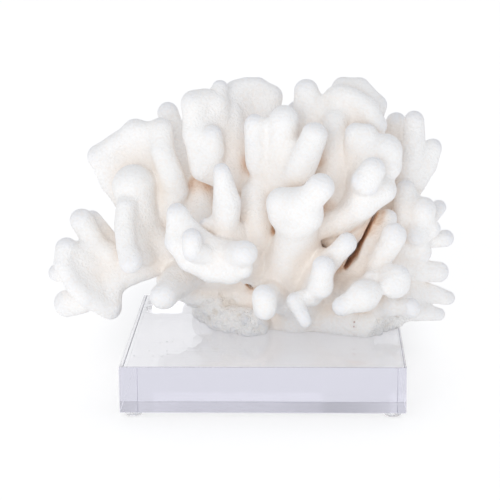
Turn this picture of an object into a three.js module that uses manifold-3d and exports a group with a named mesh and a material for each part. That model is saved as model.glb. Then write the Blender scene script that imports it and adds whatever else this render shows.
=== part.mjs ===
// A branching coral of the cat's paw kind, glued to a clear acrylic block on four bumper feet.
// Millimetres, +Z up, +X to the right and +Y to the back. The coral is laid out from the middle
// of the block's top face; at the end the whole group moves so that the origin is the middle of
// its footprint, on the surface that the feet stand on.
import * as THREE from "three";
import { ConvexGeometry } from "three/addons/geometries/ConvexGeometry.js";
import { mergeVertices } from "three/addons/utils/BufferGeometryUtils.js";
import Module from "manifold-3d";

const wasm = await Module();
wasm.setup();

// Driving dimensions.
const BLOCK_SIDE = 152.4; // six inches
const BLOCK_HEIGHT = 25.4; // one inch
const BLOCK_BEVEL = 0.6; // polished edge
const FOOT_RADIUS = 4.8;
const FOOT_HEIGHT = 3.2;
const FOOT_PAD = 0.4; // straight rim below the dome
const FOOT_TREAD_RADIUS = 2.2; // flat that the foot stands on
const FOOT_INSET = 6.8; // from the block's sides to a foot's axis
const FOOT_SIDES = 8;
const GLUE_GAP = 0.3; // between pieces that touch
const BALL_FIT = 1.3; // an eight-faced ball's corners, as a share of the round ball's radius
const RUN_SLACK = 0.6; // how far off its run's line a ball may lie, in radii

const CORAL_LOOK = { color: 0xf3efe9, roughness: 0.9, metalness: 0 };
const BLOCK_LOOK = { color: 0xdcd9ea, roughness: 0.05, metalness: 0, transparent: true, opacity: 0.35 };
const FOOT_LOOK = { color: 0xe6e2e8, roughness: 0.3, metalness: 0, transparent: true, opacity: 0.5 };

// The coral, split at its main forks. A limb is a chain of balls, each [x, y, z, radius], with a
// tapered stretch from one to the next. A web is three balls with a flat sheet between them,
// where neighbouring fingers have grown together.
const BRANCHES = {
  holdfast: {
    limbs: [
      [[-36, 26, 4, 8], [-20, 0, 5, 10], [-8, -7, 5, 10.5]],
      [[-24, 16, 14, 10], [-12, 8, 18, 12], [4, 6, 22, 14]],
      [[16, 12, 6, 13], [38, -2, 6, 11], [56, -11, 6, 10], [68, 6, 6, 10]],
      [[-22, 42, 6, 13], [14, 50, 6, 14], [50, 36, 6, 13]],
      [[10, 22, 6, 27], [8, 22, 34, 22], [10, 20, 52, 15]],
      [[40, 18, 14, 16], [26, 20, 30, 17]],
      [[-54, 2, 28, 8], [-42, 4, 21, 8], [-28, 6, 14, 9]],
    ],
    webs: [],
  },
  left_arm: {
    limbs: [
      [[-14, 12, 28, 13], [-36, 2, 36, 12.5], [-58, -6, 45, 11], [-74, -10, 38, 9], [-86, -14, 31, 7]],
      [[-60, -6, 50, 10], [-66, -6, 59, 9], [-70.5, -8, 72, 10.8], [-72.6, -9, 84.5, 12.4]],
      [[-76, -21, 75.5, 5.6], [-77.5, -25, 66, 5.2], [-75.5, -31, 55, 5.2], [-72.4, -36, 47.2, 6.2]],
      [[-44, -10, 35, 10], [-49, -22, 33, 8.5]],
      [[-46, -14, 34, 9], [-51, -32, 32, 7.5], [-54.5, -45, 30.5, 7.4]],
    ],
    webs: [
      [[-76, -19, 73, 4.8], [-75.5, -29, 55, 4.6], [-63, -6, 54, 7]],
      [[-76, -26, 54, 4.6], [-72.5, -34, 48, 5], [-62, -8, 46, 7]],
    ],
  },
  left_tip_fan: {
    limbs: [
      [[-80, -11, 38, 8], [-96, -12, 35, 6], [-117, -9, 35, 4.8]],
      [[-109.5, -22, 52, 6], [-111, -26, 44, 4.6], [-105.5, -28, 33.5, 4.4],
       [-97.5, -28, 24.5, 4.4], [-86, -22, 17.5, 6]],
      [[-86, -12, 46, 6.5], [-93, -10, 49, 6], [-102, -10, 65, 6.7]],
      [[-84, -4, 44, 7], [-89, 2, 51, 6], [-97.7, 4, 63, 5.1]],
      [[-84, -13, 32, 7], [-92, -12, 25, 7.5], [-103, -10, 18.5, 6.4], [-112, -8, 17, 7.5]],
    ],
    webs: [
      [[-109.5, -21, 51, 5], [-111, -25, 44, 4.2], [-93, -13, 38, 5]],
      [[-111, -25, 44, 4.2], [-105.5, -27, 33.5, 4.2], [-93, -13, 36, 5]],
      [[-105.5, -27, 33.5, 4.2], [-97.5, -27, 24.5, 4.2], [-90, -13, 32, 5]],
      [[-97.5, -27, 24.5, 4.2], [-86, -21, 18, 5], [-87, -14, 30, 5.5]],
    ],
  },
  left_blade: {
    limbs: [
      [[-18, 14, 42, 13], [-40, 8, 56, 12], [-57, 4, 71, 11]],
      [[-56, 2, 70, 10], [-50, -3, 81, 7.5], [-52, -6, 89, 7.8],
       [-57, -4, 103, 6.6], [-57.6, 1, 115.5, 5.6]],
      [[-62, 6, 72, 9], [-78, 7, 70, 6.2], [-87, 8, 83, 5.4], [-93.5, 8, 97.5, 5.6]],
      [[-64, 5, 76, 8], [-71, 8, 98, 6.5], [-73, 8, 112.5, 5.8]],
      [[-73, 8, 112, 5.5], [-84, 8, 105, 5.2], [-93.5, 8, 98.5, 5.2]],
    ],
    webs: [
      [[-93, 8, 98, 5.2], [-86.5, 8, 83, 5.2], [-72, 8, 90, 5.4]],
      [[-93, 8, 98, 5.2], [-73, 8, 112, 5.4], [-72, 8, 90, 5]],
      [[-86.5, 8, 83, 5.2], [-68, 6, 70, 7.4], [-70, 7, 90, 5.6]],
      [[-73, 8, 112, 5.2], [-58, 1, 114, 5.2], [-64, 3, 90, 5.2]],
      [[-58, 1, 113, 5.2], [-52, -3, 86, 6.6], [-66, 4, 86, 6]],
    ],
  },
  left_rear_finger: {
    limbs: [
      [[-12, 24, 42, 12], [-34, 28, 62, 9.5], [-48, 30, 90, 7.8], [-56, 32, 119, 6.4]],
    ],
    webs: [],
  },
  top_left_blade: {
    limbs: [
      [[-2, 18, 44, 14], [-10, 14, 72, 13], [-14, 12, 90, 11]],
      [[-22, 2, 88, 9], [-34, -5, 95, 7.6], [-38.6, -3, 111, 6], [-39, 0, 129, 6.2]],
      [[-39, 0, 129, 6], [-33, 2, 131, 6], [-27, 4, 129, 6.6], [-25, 8, 136.6, 4.4]],
      [[-28.6, -6, 102, 6.4], [-29.2, -8, 113, 5.8]],
      [[-14, 14, 90, 11], [-14, 19, 114, 6.6], [-16, 20, 133, 5.4]],
      [[-8, 16, 92, 10], [2, 24, 108, 6], [3.6, 26, 129, 5.2]],
      [[-17, 20, 133, 5.2], [-11, 21, 136, 5], [-4.5, 23, 135.6, 5], [3, 26, 130, 5]],
      [[-22, 10, 96, 9], [-21, 14, 120, 4.6], [-20, 16, 131, 4.6]],
    ],
    webs: [
      [[-38.6, -2, 112, 5.4], [-39, 0, 129, 5.6], [-27, 5, 127, 5.6]],
      [[-38.6, -3, 112, 5.4], [-26, 6, 126, 5.6], [-24, 4, 94, 8]],
      [[-16, 20, 132, 4.8], [3, 26, 129, 4.8], [-6, 21, 98, 6]],
      [[-16, 20, 132, 4.8], [-14, 14, 94, 8], [-6, 20, 98, 6]],
    ],
  },
  centre_lobe: {
    limbs: [
      [[8, 18, 50, 14], [6, 10, 66, 12], [6, 2, 80, 11], [8, -6, 92, 9]],
      [[-1, -8, 90, 7], [-4, -12, 100, 6], [-5.4, -15, 110, 5.2], [-5, -14, 120, 5]],
      [[7, -9, 88, 8], [9.4, -14, 104, 7.6], [11, -16, 122.5, 8]],
      [[12, -10, 84, 9], [19, -22, 94, 8], [23.6, -26, 106, 8], [27.4, -26, 116, 7]],
      [[2, 0, 88, 9], [-4.6, -7, 80, 8], [-4.4, -10, 69, 8.6], [-3, -11, 57, 9.4]],
    ],
    webs: [
      [[-5, -12, 117, 4.6], [10, -12, 118, 5], [3, -7, 92, 8]],
      [[12, -13, 108, 6], [22, -23, 104, 6], [12, -11, 88, 9]],
    ],
  },
  front_left_finger: {
    limbs: [
      [[-6, 0, 40, 12], [-15, -16, 54, 9.5], [-21, -27, 65, 7.4],
       [-20, -30, 79, 7.9], [-22.6, -32, 97, 4.6]],
      [[-24, -26, 66, 5.5], [-32, -26, 66, 3.9]],
    ],
    webs: [],
  },
  front_left_fan: {
    limbs: [
      [[0, 2, 32, 12], [-12, -20, 46, 11], [-22, -34, 51, 9]],
      [[-46.5, -36, 74.5, 5], [-48, -37, 66, 4.6], [-47.5, -38, 59, 5],
       [-41, -40, 48.5, 4.8], [-29, -40, 39.5, 5.2], [-18, -42, 40, 6]],
      [[-46.5, -36, 74, 4.6], [-36, -37, 62, 4.4], [-26, -37, 57, 5.4]],
      [[-30, -42, 53, 6], [-37.8, -49, 56, 5.4], [-38, -50, 64, 5.2]],
      [[-16, -40, 52, 8.5], [-10.2, -51, 56, 7.4]],
      [[-16, -40, 45, 7], [-11, -46, 43, 5.4]],
    ],
    webs: [
      [[-46.5, -36, 74, 4.6], [-47.5, -38, 59, 4.8], [-34, -37, 60, 4.8]],
      [[-47.5, -38, 59, 4.8], [-41, -40, 48.5, 4.8], [-25, -36, 52, 7]],
      [[-41, -40, 48.5, 4.8], [-29, -40, 40, 5], [-22, -36, 50, 7]],
    ],
  },
  front_centre_lobe: {
    limbs: [
      [[18, 6, 6, 16], [19, -8, 30, 13.5], [19, -14, 48, 13], [19, -26, 61, 11], [18.5, -34, 69, 10.5]],
      [[11, -11, 24, 12.5], [12, -16, 38, 12], [12.5, -20, 48, 11.5], [15, -27, 58, 9.5]],
      [[18, -38, 72, 9.5], [19.5, -42, 80, 10]],
      [[20, -37, 78, 9.6], [10.4, -38, 80.4, 8.8]],
      [[22, -42, 81, 8.5], [26, -45, 85.5, 7.6], [31, -48, 91.5, 7.6]],
      [[18, -42, 78, 8], [24, -42, 74, 8]],
    ],
    webs: [],
  },
  top_right_blade: {
    limbs: [
      [[20, 16, 44, 15], [32, 10, 72, 14], [40, 8, 94, 13]],
      [[32, 10, 94, 11], [25, 9, 118, 9], [23, 8, 134.5, 6.8]],
      [[40, 8, 98, 11], [42, 6, 118, 7], [41.6, 4.5, 133, 5.6],
       [48.2, 3, 132, 5.2], [56.5, 1, 127, 5.2], [61.6, -2, 117.5, 5.6]],
      [[46, 12, 98, 11], [47, 18, 118, 7], [43, 20, 135, 5.4],
       [53, 22, 134.4, 5.2], [62, 22, 125.3, 4.8]],
      [[52, 6, 96, 11], [58, 2, 108, 7]],
      [[52, 14, 96, 11], [60, 20, 110, 6], [62, 22, 124, 4.8]],
    ],
    webs: [
      [[41.6, 4.5, 132, 5], [56.5, 1.5, 126, 5], [46, 7, 98, 9]],
      [[56.5, 1.5, 126, 5], [61.4, -1.5, 117, 5], [50, 8, 98, 9]],
      [[43, 20, 134, 5], [62, 22, 124, 4.6], [50, 14, 98, 9]],
      [[24, 8, 130, 6], [40, 6, 112, 6], [32, 9, 98, 9]],
    ],
  },
  right_blade: {
    limbs: [
      [[32, 8, 40, 13], [46, -3, 68, 12.5], [54, -8, 88, 11.5]],
      [[52, -10, 92, 9], [50, -13, 104, 6], [50.4, -14, 114.6, 6], [56, -16, 115, 5.8]],
      [[58, -12, 90, 10], [63, -17, 98, 8.6], [66, -19, 106, 9.4]],
      [[60, -16, 92, 8.6], [68, -19, 98, 7]],
      [[54, -14, 86, 9], [55, -30, 90, 6.5], [54, -42, 94, 6.2]],
      [[54, -20, 88, 7], [58.6, -41, 100, 6.4]],
      [[40, -6, 58, 10], [46, -12, 68, 9], [53.4, -26, 77.6, 7.6],
       [65, -25, 85.5, 6.4], [62.4, -20, 91.5, 6.4]],
      [[44, -12, 64, 8], [38, -20, 66, 7.4], [31, -21, 64, 7]],
    ],
    webs: [
      [[50.4, -13, 113, 5.4], [57, -15, 112, 5], [54, -11, 94, 8]],
      [[58.6, -42, 99.6, 5.8], [52.6, -44, 94, 5.4], [57, -44, 91, 5]],
      [[65, -25, 85.5, 6], [53.4, -27, 78, 7], [54, -16, 84, 8]],
      [[62.4, -20, 91, 6], [65, -25, 85.5, 6], [56, -16, 88, 8]],
      [[53.4, -27, 78, 7], [41, -20, 66, 6.6], [46, -8, 74, 9]],
    ],
  },
  right_fingers: {
    limbs: [
      [[28, 24, 38, 13], [56, 26, 56, 11], [74, 22, 72, 9.5]],
      [[72, 24, 74, 9], [72, 29, 90, 6.6], [72.6, 30, 103, 6], [73.9, 30, 113.6, 5.5]],
      [[78, 20, 76, 9], [81, 16, 94, 6.8], [83.6, 16, 106, 6.2], [83.5, 18, 116, 5.8]],
      [[80, 19, 76, 8], [85.4, 18, 80.5, 5.2], [91, 20, 89.6, 4.8], [94.6, 22, 100.6, 4.8]],
      [[70, 28, 70, 9], [74, 42, 92, 7], [76, 46, 106, 6]],
    ],
    webs: [
      [[91, 20, 90, 4.4], [85, 18, 81, 5], [80, 18, 92, 6]],
      [[72.6, 28, 98, 5], [82, 18, 96, 5.4], [76, 22, 76, 8]],
    ],
  },
  right_low_branch: {
    limbs: [
      [[32, 16, 26, 13], [58, 12, 42, 12], [76, 6, 52, 10]],
      [[76, 5, 54, 8.5], [76.6, 0, 63.5, 6], [78.8, 6, 80, 5.2]],
      [[78, 4, 54, 9], [86, 0, 58, 7.4], [88, -2, 69.5, 7.4]],
      [[84, 12, 56, 6.5], [93, 16, 62, 5], [98, 18, 66.5, 4.6]],
      [[86, 2, 56, 7], [94.5, 6, 57.4, 3.7]],
      [[82, 9, 50, 7.5], [93, 12, 49, 4.6], [101.6, 14, 49.6, 5.1]],
      [[76, 5, 46, 8], [87, 4, 44, 6.6]],
      [[70, 8, 36, 10], [83, 8, 32.5, 7], [98, 12, 30.4, 5.8]],
    ],
    webs: [
      [[78.8, 6, 78, 5], [86, 0, 66, 6], [78, 3, 58, 7]],
    ],
  },
  right_foot_branch: {
    limbs: [
      [[36, 12, 14, 13], [62, 12, 17, 11], [80, 13, 18, 9]],
      [[80, 13, 18.5, 8], [91, 14, 18, 6], [104, 18, 13.4, 4.2]],
      [[76, 8, 11, 9], [85, 8, 8.6, 6], [98.5, 10, 6.2, 3.8]],
      [[52, -2, 18, 9], [68.5, -16, 16.6, 4.6], [74, -19, 17.4, 4.2], [80.4, -22, 18.1, 5.6]],
      [[66, -13, 15, 5], [68.5, -17, 18, 4.4]],
    ],
    webs: [],
  },
  right_front_branch: {
    limbs: [
      [[34, 6, 24, 13], [48, -8, 30, 11], [60, -20, 36, 9]],
      [[58, -16, 38, 7], [62, -24, 45, 6.2], [68, -28, 54, 6], [70.8, -30, 61, 6.8]],
      [[60, -20, 36, 8.5], [68, -32, 36.5, 8], [71, -40, 36.5, 8.2]],
      [[70, -36, 40, 5.5], [73.6, -40, 41.5, 4.6]],
      [[62, -24, 38, 7], [57.8, -35, 38.6, 4]],
      [[48, -16, 29, 9], [53, -34, 31, 7], [54, -48, 31.8, 7.4]],
      [[54, -46, 31, 7], [42.4, -50, 26.6, 5.4]],
      [[54, -46, 33, 6], [58.6, -46, 33.6, 5]],
    ],
    webs: [
      [[68.2, -10, 66, 4.4], [59.4, -14, 54, 4.8], [66, -26, 52, 4.8]],
      [[59.4, -14, 54, 4.8], [62, -24, 44, 5.4], [52, -6, 44, 8]],
    ],
  },
  front_low_branch: {
    limbs: [
      [[22, 0, 24, 12], [27, -18, 34, 9], [30, -34, 35, 7], [31, -45, 37, 6]],
      [[30.4, -46, 36, 6], [32.4, -49, 48, 6]],
      [[27, -14, 42, 9], [36, -32, 48, 6], [40, -36, 53, 5.4], [45, -38, 58.6, 5.6]],
      [[24, -22, 28, 8], [26, -40, 29, 5.4], [17, -48, 28.8, 4.8],
       [20.8, -54, 23, 4], [22.6, -56, 19.6, 3.6]],
    ],
    webs: [
      [[31, -44, 38, 5], [36, -33, 47, 5], [29, -24, 38, 7]],
    ],
  },
  front_stub: {
    limbs: [
      [[8, -8, 24, 10], [3, -34, 28, 6.6], [0.6, -50, 30.5, 6.4]],
      [[0.4, -55, 33.4, 6.2], [0.8, -55, 26.6, 6.3]],
    ],
    webs: [],
  },
  rear_left_branch: {
    limbs: [
      [[-10, 30, 26, 14], [-34, 42, 40, 12], [-52, 48, 52, 10]],
      [[-52, 47, 50, 9], [-66, 44, 62, 7.5], [-78, 42, 74, 6.5]],
      [[-54, 48, 54, 9], [-62, 54, 72, 7.5], [-66, 56, 88, 6.5]],
      [[-52, 48, 48, 8], [-68, 58, 50, 6.5], [-80, 62, 56, 5.5]],
      [[-44, 46, 44, 9], [-56, 62, 40, 7], [-62, 72, 42, 6]],
      [[-42, 44, 50, 9], [-44, 52, 70, 7.5], [-46, 54, 82, 6.5]],
    ],
    webs: [
      [[-68, 58, 50, 5.4], [-58, 61, 41, 6], [-50, 50, 46, 8]],
    ],
  },
  rear_centre_blade: {
    limbs: [
      [[4, 32, 36, 15], [2, 42, 62, 13], [0, 44, 80, 12]],
      [[-4, 44, 80, 11], [-22, 46, 100, 8], [-26, 46, 112, 7]],
      [[0, 44, 82, 11], [-6, 50, 104, 8.5], [-8, 52, 118, 7]],
      [[4, 44, 82, 11], [14, 50, 102, 8.5], [18, 52, 116, 7]],
      [[0, 46, 72, 11], [-2, 62, 84, 8], [-4, 70, 92, 6.5]],
      [[6, 46, 66, 10], [20, 62, 72, 8], [26, 70, 78, 6.5]],
      [[-4, 46, 62, 10], [-20, 62, 64, 8], [-28, 68, 70, 6.5]],
    ],
    webs: [
      [[-24, 46, 106, 6], [-8, 51, 112, 6], [-4, 46, 86, 9]],
      [[-2, 64, 86, 6], [20, 62, 74, 6], [2, 48, 70, 9]],
    ],
  },
  rear_right_branch: {
    limbs: [
      [[20, 34, 30, 14], [42, 46, 48, 12], [52, 50, 62, 11]],
      [[52, 50, 62, 10], [50, 52, 86, 8], [48, 54, 104, 7]],
      [[54, 50, 62, 10], [66, 54, 80, 7.5], [70, 56, 92, 6.5]],
      [[54, 50, 58, 9], [70, 58, 62, 7.5], [80, 60, 68, 6]],
      [[48, 50, 52, 10], [54, 66, 58, 8], [56, 74, 64, 6.5]],
      [[44, 46, 44, 10], [66, 50, 38, 8], [80, 52, 38, 6]],
    ],
    webs: [
      [[50, 53, 92, 6], [66, 54, 82, 6], [54, 50, 66, 9]],
    ],
  },
  rear_low_branch: {
    limbs: [
      [[6, 40, 16, 14], [4, 58, 28, 10], [2, 70, 36, 7]],
      [[10, 44, 18, 11], [30, 62, 26, 8], [38, 70, 32, 6.5]],
      [[0, 42, 18, 11], [-24, 58, 22, 8], [-34, 66, 26, 6.5]],
      [[20, 46, 30, 10], [26, 66, 46, 7], [28, 74, 52, 6]],
      [[-2, 46, 34, 10], [-12, 66, 44, 7], [-14, 74, 50, 6]],
    ],
    webs: [
      [[4, 60, 30, 7], [28, 62, 28, 6], [10, 46, 22, 9]],
    ],
  },
};

function corners(geometry) {
  const bare = new THREE.BufferGeometry();
  bare.setAttribute("position", geometry.getAttribute("position"));
  const { position } = mergeVertices(bare, 1e-4).attributes;
  return Array.from({ length: position.count }, (_, i) =>
    new THREE.Vector3().fromBufferAttribute(position, i),
  );
}

// An eight-faced ball, turned so that one of its faces is on top.
const BALL_CORNERS = corners(
  new THREE.OctahedronGeometry(1, 0).rotateZ(Math.PI / 4).rotateX(Math.atan(Math.SQRT2)),
);

// A closed three.js geometry as a solid that can be cut and joined.
function solidOf(geometry) {
  const bare = new THREE.BufferGeometry();
  bare.setAttribute("position", geometry.getAttribute("position"));
  if (geometry.index) bare.setIndex(geometry.index);
  const merged = mergeVertices(bare, 1e-4);
  return new wasm.Manifold(
    new wasm.Mesh({
      numProp: 3,
      vertProperties: new Float32Array(merged.attributes.position.array),
      triVerts: new Uint32Array(merged.index.array),
    }),
  );
}

function geometryOf(solid) {
  const { vertProperties, triVerts } = solid.getMesh();
  const geometry = new THREE.BufferGeometry();
  geometry.setAttribute("position", new THREE.BufferAttribute(vertProperties, 3));
  geometry.setIndex(new THREE.BufferAttribute(triVerts, 1));
  return geometry;
}

function straight(balls) {
  const middles = balls.map(([x, y, z]) => new THREE.Vector3(x, y, z));
  const line = new THREE.Line3(middles[0], middles.at(-1));
  return balls.every((ball, i) => {
    const nearest = line.closestPointToPoint(middles[i], true, new THREE.Vector3());
    return nearest.distanceTo(middles[i]) < RUN_SLACK * ball[3];
  });
}

// A limb's balls, parted wherever one lies off the line of its run.
function straightRuns(limb) {
  const runs = [];
  let start = 0;
  for (let end = 2; end <= limb.length; end += 1) {
    if (end === limb.length || !straight(limb.slice(start, end + 1))) {
      runs.push(limb.slice(start, end));
      start = end - 1;
    }
  }
  return runs;
}

// The hull of a few balls, grown by a margin all round.
function stretch(balls, margin) {
  const points = balls.flatMap(([x, y, z, radius]) =>
    BALL_CORNERS.map((corner) =>
      new THREE.Vector3(x, y, z).addScaledVector(corner, (radius + margin) * BALL_FIT),
    ),
  );
  return solidOf(new ConvexGeometry(points));
}

function grow({ limbs, webs }, margin) {
  return [...limbs.flatMap(straightRuns), ...webs]
    .map((balls) => stretch(balls, margin))
    .reduce((whole, piece) => whole.add(piece));
}

function largestBody(solid) {
  return solid.decompose().reduce((a, b) => (b.volume() > a.volume() ? b : a));
}

// Everything below the glue line, which the coral is cut off by.
function belowGlue() {
  const depth = 100;
  const slab = new THREE.BoxGeometry(4 * BLOCK_SIDE, 4 * BLOCK_SIDE, depth);
  return solidOf(slab.translate(0, 0, GLUE_GAP - depth / 2));
}

// Each branch loses what earlier branches hold, with a gap, and keeps its largest body.
function coralMeshes() {
  const look = new THREE.MeshStandardMaterial(CORAL_LOOK);
  let taken = belowGlue();
  return Object.entries(BRANCHES).map(([name, shape]) => {
    const mesh = new THREE.Mesh(geometryOf(largestBody(grow(shape, 0).subtract(taken))), look);
    mesh.name = name;
    taken = taken.add(grow(shape, GLUE_GAP));
    return mesh;
  });
}

function blockMesh() {
  const half = BLOCK_SIDE / 2 - BLOCK_BEVEL;
  const outline = new THREE.Shape([
    new THREE.Vector2(-half, -half),
    new THREE.Vector2(half, -half),
    new THREE.Vector2(half, half),
    new THREE.Vector2(-half, half),
  ]);
  const geometry = new THREE.ExtrudeGeometry(outline, {
    depth: BLOCK_HEIGHT - 2 * BLOCK_BEVEL,
    bevelEnabled: true,
    bevelSize: BLOCK_BEVEL,
    bevelThickness: BLOCK_BEVEL,
    bevelSegments: 1,
  });
  geometry.translate(0, 0, BLOCK_BEVEL - BLOCK_HEIGHT);
  const mesh = new THREE.Mesh(geometry, new THREE.MeshStandardMaterial(BLOCK_LOOK));
  mesh.name = "acrylic_block";
  return mesh;
}

// A dome that hangs from the block's underside, with a small flat tread.
function footMesh(name, x, y) {
  const dome = FOOT_HEIGHT - FOOT_PAD;
  const turns = [0.25, 0.5, 0.75, 1].map((t) => (t * Math.PI) / 2);
  const profile = [
    new THREE.Vector2(0, -FOOT_HEIGHT),
    new THREE.Vector2(FOOT_TREAD_RADIUS, -FOOT_HEIGHT),
    ...turns.map(
      (t) =>
        new THREE.Vector2(
          FOOT_TREAD_RADIUS + (FOOT_RADIUS - FOOT_TREAD_RADIUS) * Math.sin(t),
          -FOOT_PAD - dome * Math.cos(t),
        ),
    ),
    new THREE.Vector2(FOOT_RADIUS, -GLUE_GAP),
    new THREE.Vector2(0, -GLUE_GAP),
  ];
  const geometry = new THREE.LatheGeometry(profile, FOOT_SIDES);
  geometry.rotateX(Math.PI / 2);
  const mesh = new THREE.Mesh(geometry, new THREE.MeshStandardMaterial(FOOT_LOOK));
  mesh.position.set(x, y, -BLOCK_HEIGHT);
  mesh.name = name;
  return mesh;
}

function footMeshes() {
  const reach = BLOCK_SIDE / 2 - FOOT_INSET;
  return [
    footMesh("foot_front_left", -reach, -reach),
    footMesh("foot_front_right", reach, -reach),
    footMesh("foot_back_left", -reach, reach),
    footMesh("foot_back_right", reach, reach),
  ];
}

const coral = new THREE.Group();
coral.add(...coralMeshes(), blockMesh(), ...footMeshes());

const footprint = new THREE.Box3().setFromObject(coral);
const middle = footprint.getCenter(new THREE.Vector3());
coral.position.set(-middle.x, -middle.y, -footprint.min.z);

export default coral;
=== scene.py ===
"""A branching coral of the cat's paw kind on a clear acrylic block with four clear bumper feet.

The colony is grown as one distance field from limbs and webs, turned into a skin,
and parted at its main forks. Lengths in the tables are millimetres from the middle of the
block's top face, +X right, +Y back, +Z up; everything that Blender gets is in metres.
"""

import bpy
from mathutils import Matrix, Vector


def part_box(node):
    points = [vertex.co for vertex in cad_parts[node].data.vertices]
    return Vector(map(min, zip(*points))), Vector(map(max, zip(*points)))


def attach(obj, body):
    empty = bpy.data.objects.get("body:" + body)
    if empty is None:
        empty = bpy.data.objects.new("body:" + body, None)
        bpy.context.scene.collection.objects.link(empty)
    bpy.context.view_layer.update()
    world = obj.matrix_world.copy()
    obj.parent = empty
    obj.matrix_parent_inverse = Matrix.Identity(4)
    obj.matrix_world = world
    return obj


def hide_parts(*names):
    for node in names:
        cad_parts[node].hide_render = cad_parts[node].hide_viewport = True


bl_info = {
    "name": "Branching Coral on a Clear Block",
    "version": (1, 0, 0),
    "blender": (4, 5, 0),
    "location": "View3D > Sidebar > Coral",
    "description": "Grows a dried branching coral and makes its acrylic display block",
    "category": "Add Mesh",
}

import copy
import math

import bmesh
import bpy
import numpy as np
import openvdb
from bpy.props import FloatProperty, FloatVectorProperty, IntProperty, PointerProperty
from mathutils import Matrix, Vector

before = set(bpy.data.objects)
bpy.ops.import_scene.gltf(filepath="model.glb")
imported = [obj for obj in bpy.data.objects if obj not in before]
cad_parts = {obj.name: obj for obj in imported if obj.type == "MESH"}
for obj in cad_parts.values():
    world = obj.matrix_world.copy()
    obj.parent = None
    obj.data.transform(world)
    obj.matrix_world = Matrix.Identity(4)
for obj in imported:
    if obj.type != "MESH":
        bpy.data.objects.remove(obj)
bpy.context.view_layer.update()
BLOCK_LOW, BLOCK_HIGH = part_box("acrylic_block")
MM = 0.001
WHITE = (1.0, 1.0, 1.0)
# The coral's tables start at the middle of the block's top face.
TOP = Vector(((BLOCK_LOW.x + BLOCK_HIGH.x) / 2, (BLOCK_LOW.y + BLOCK_HIGH.y) / 2, BLOCK_HIGH.z))
FEET = ("foot_front_left", "foot_front_right", "foot_back_left", "foot_back_right")

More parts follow.
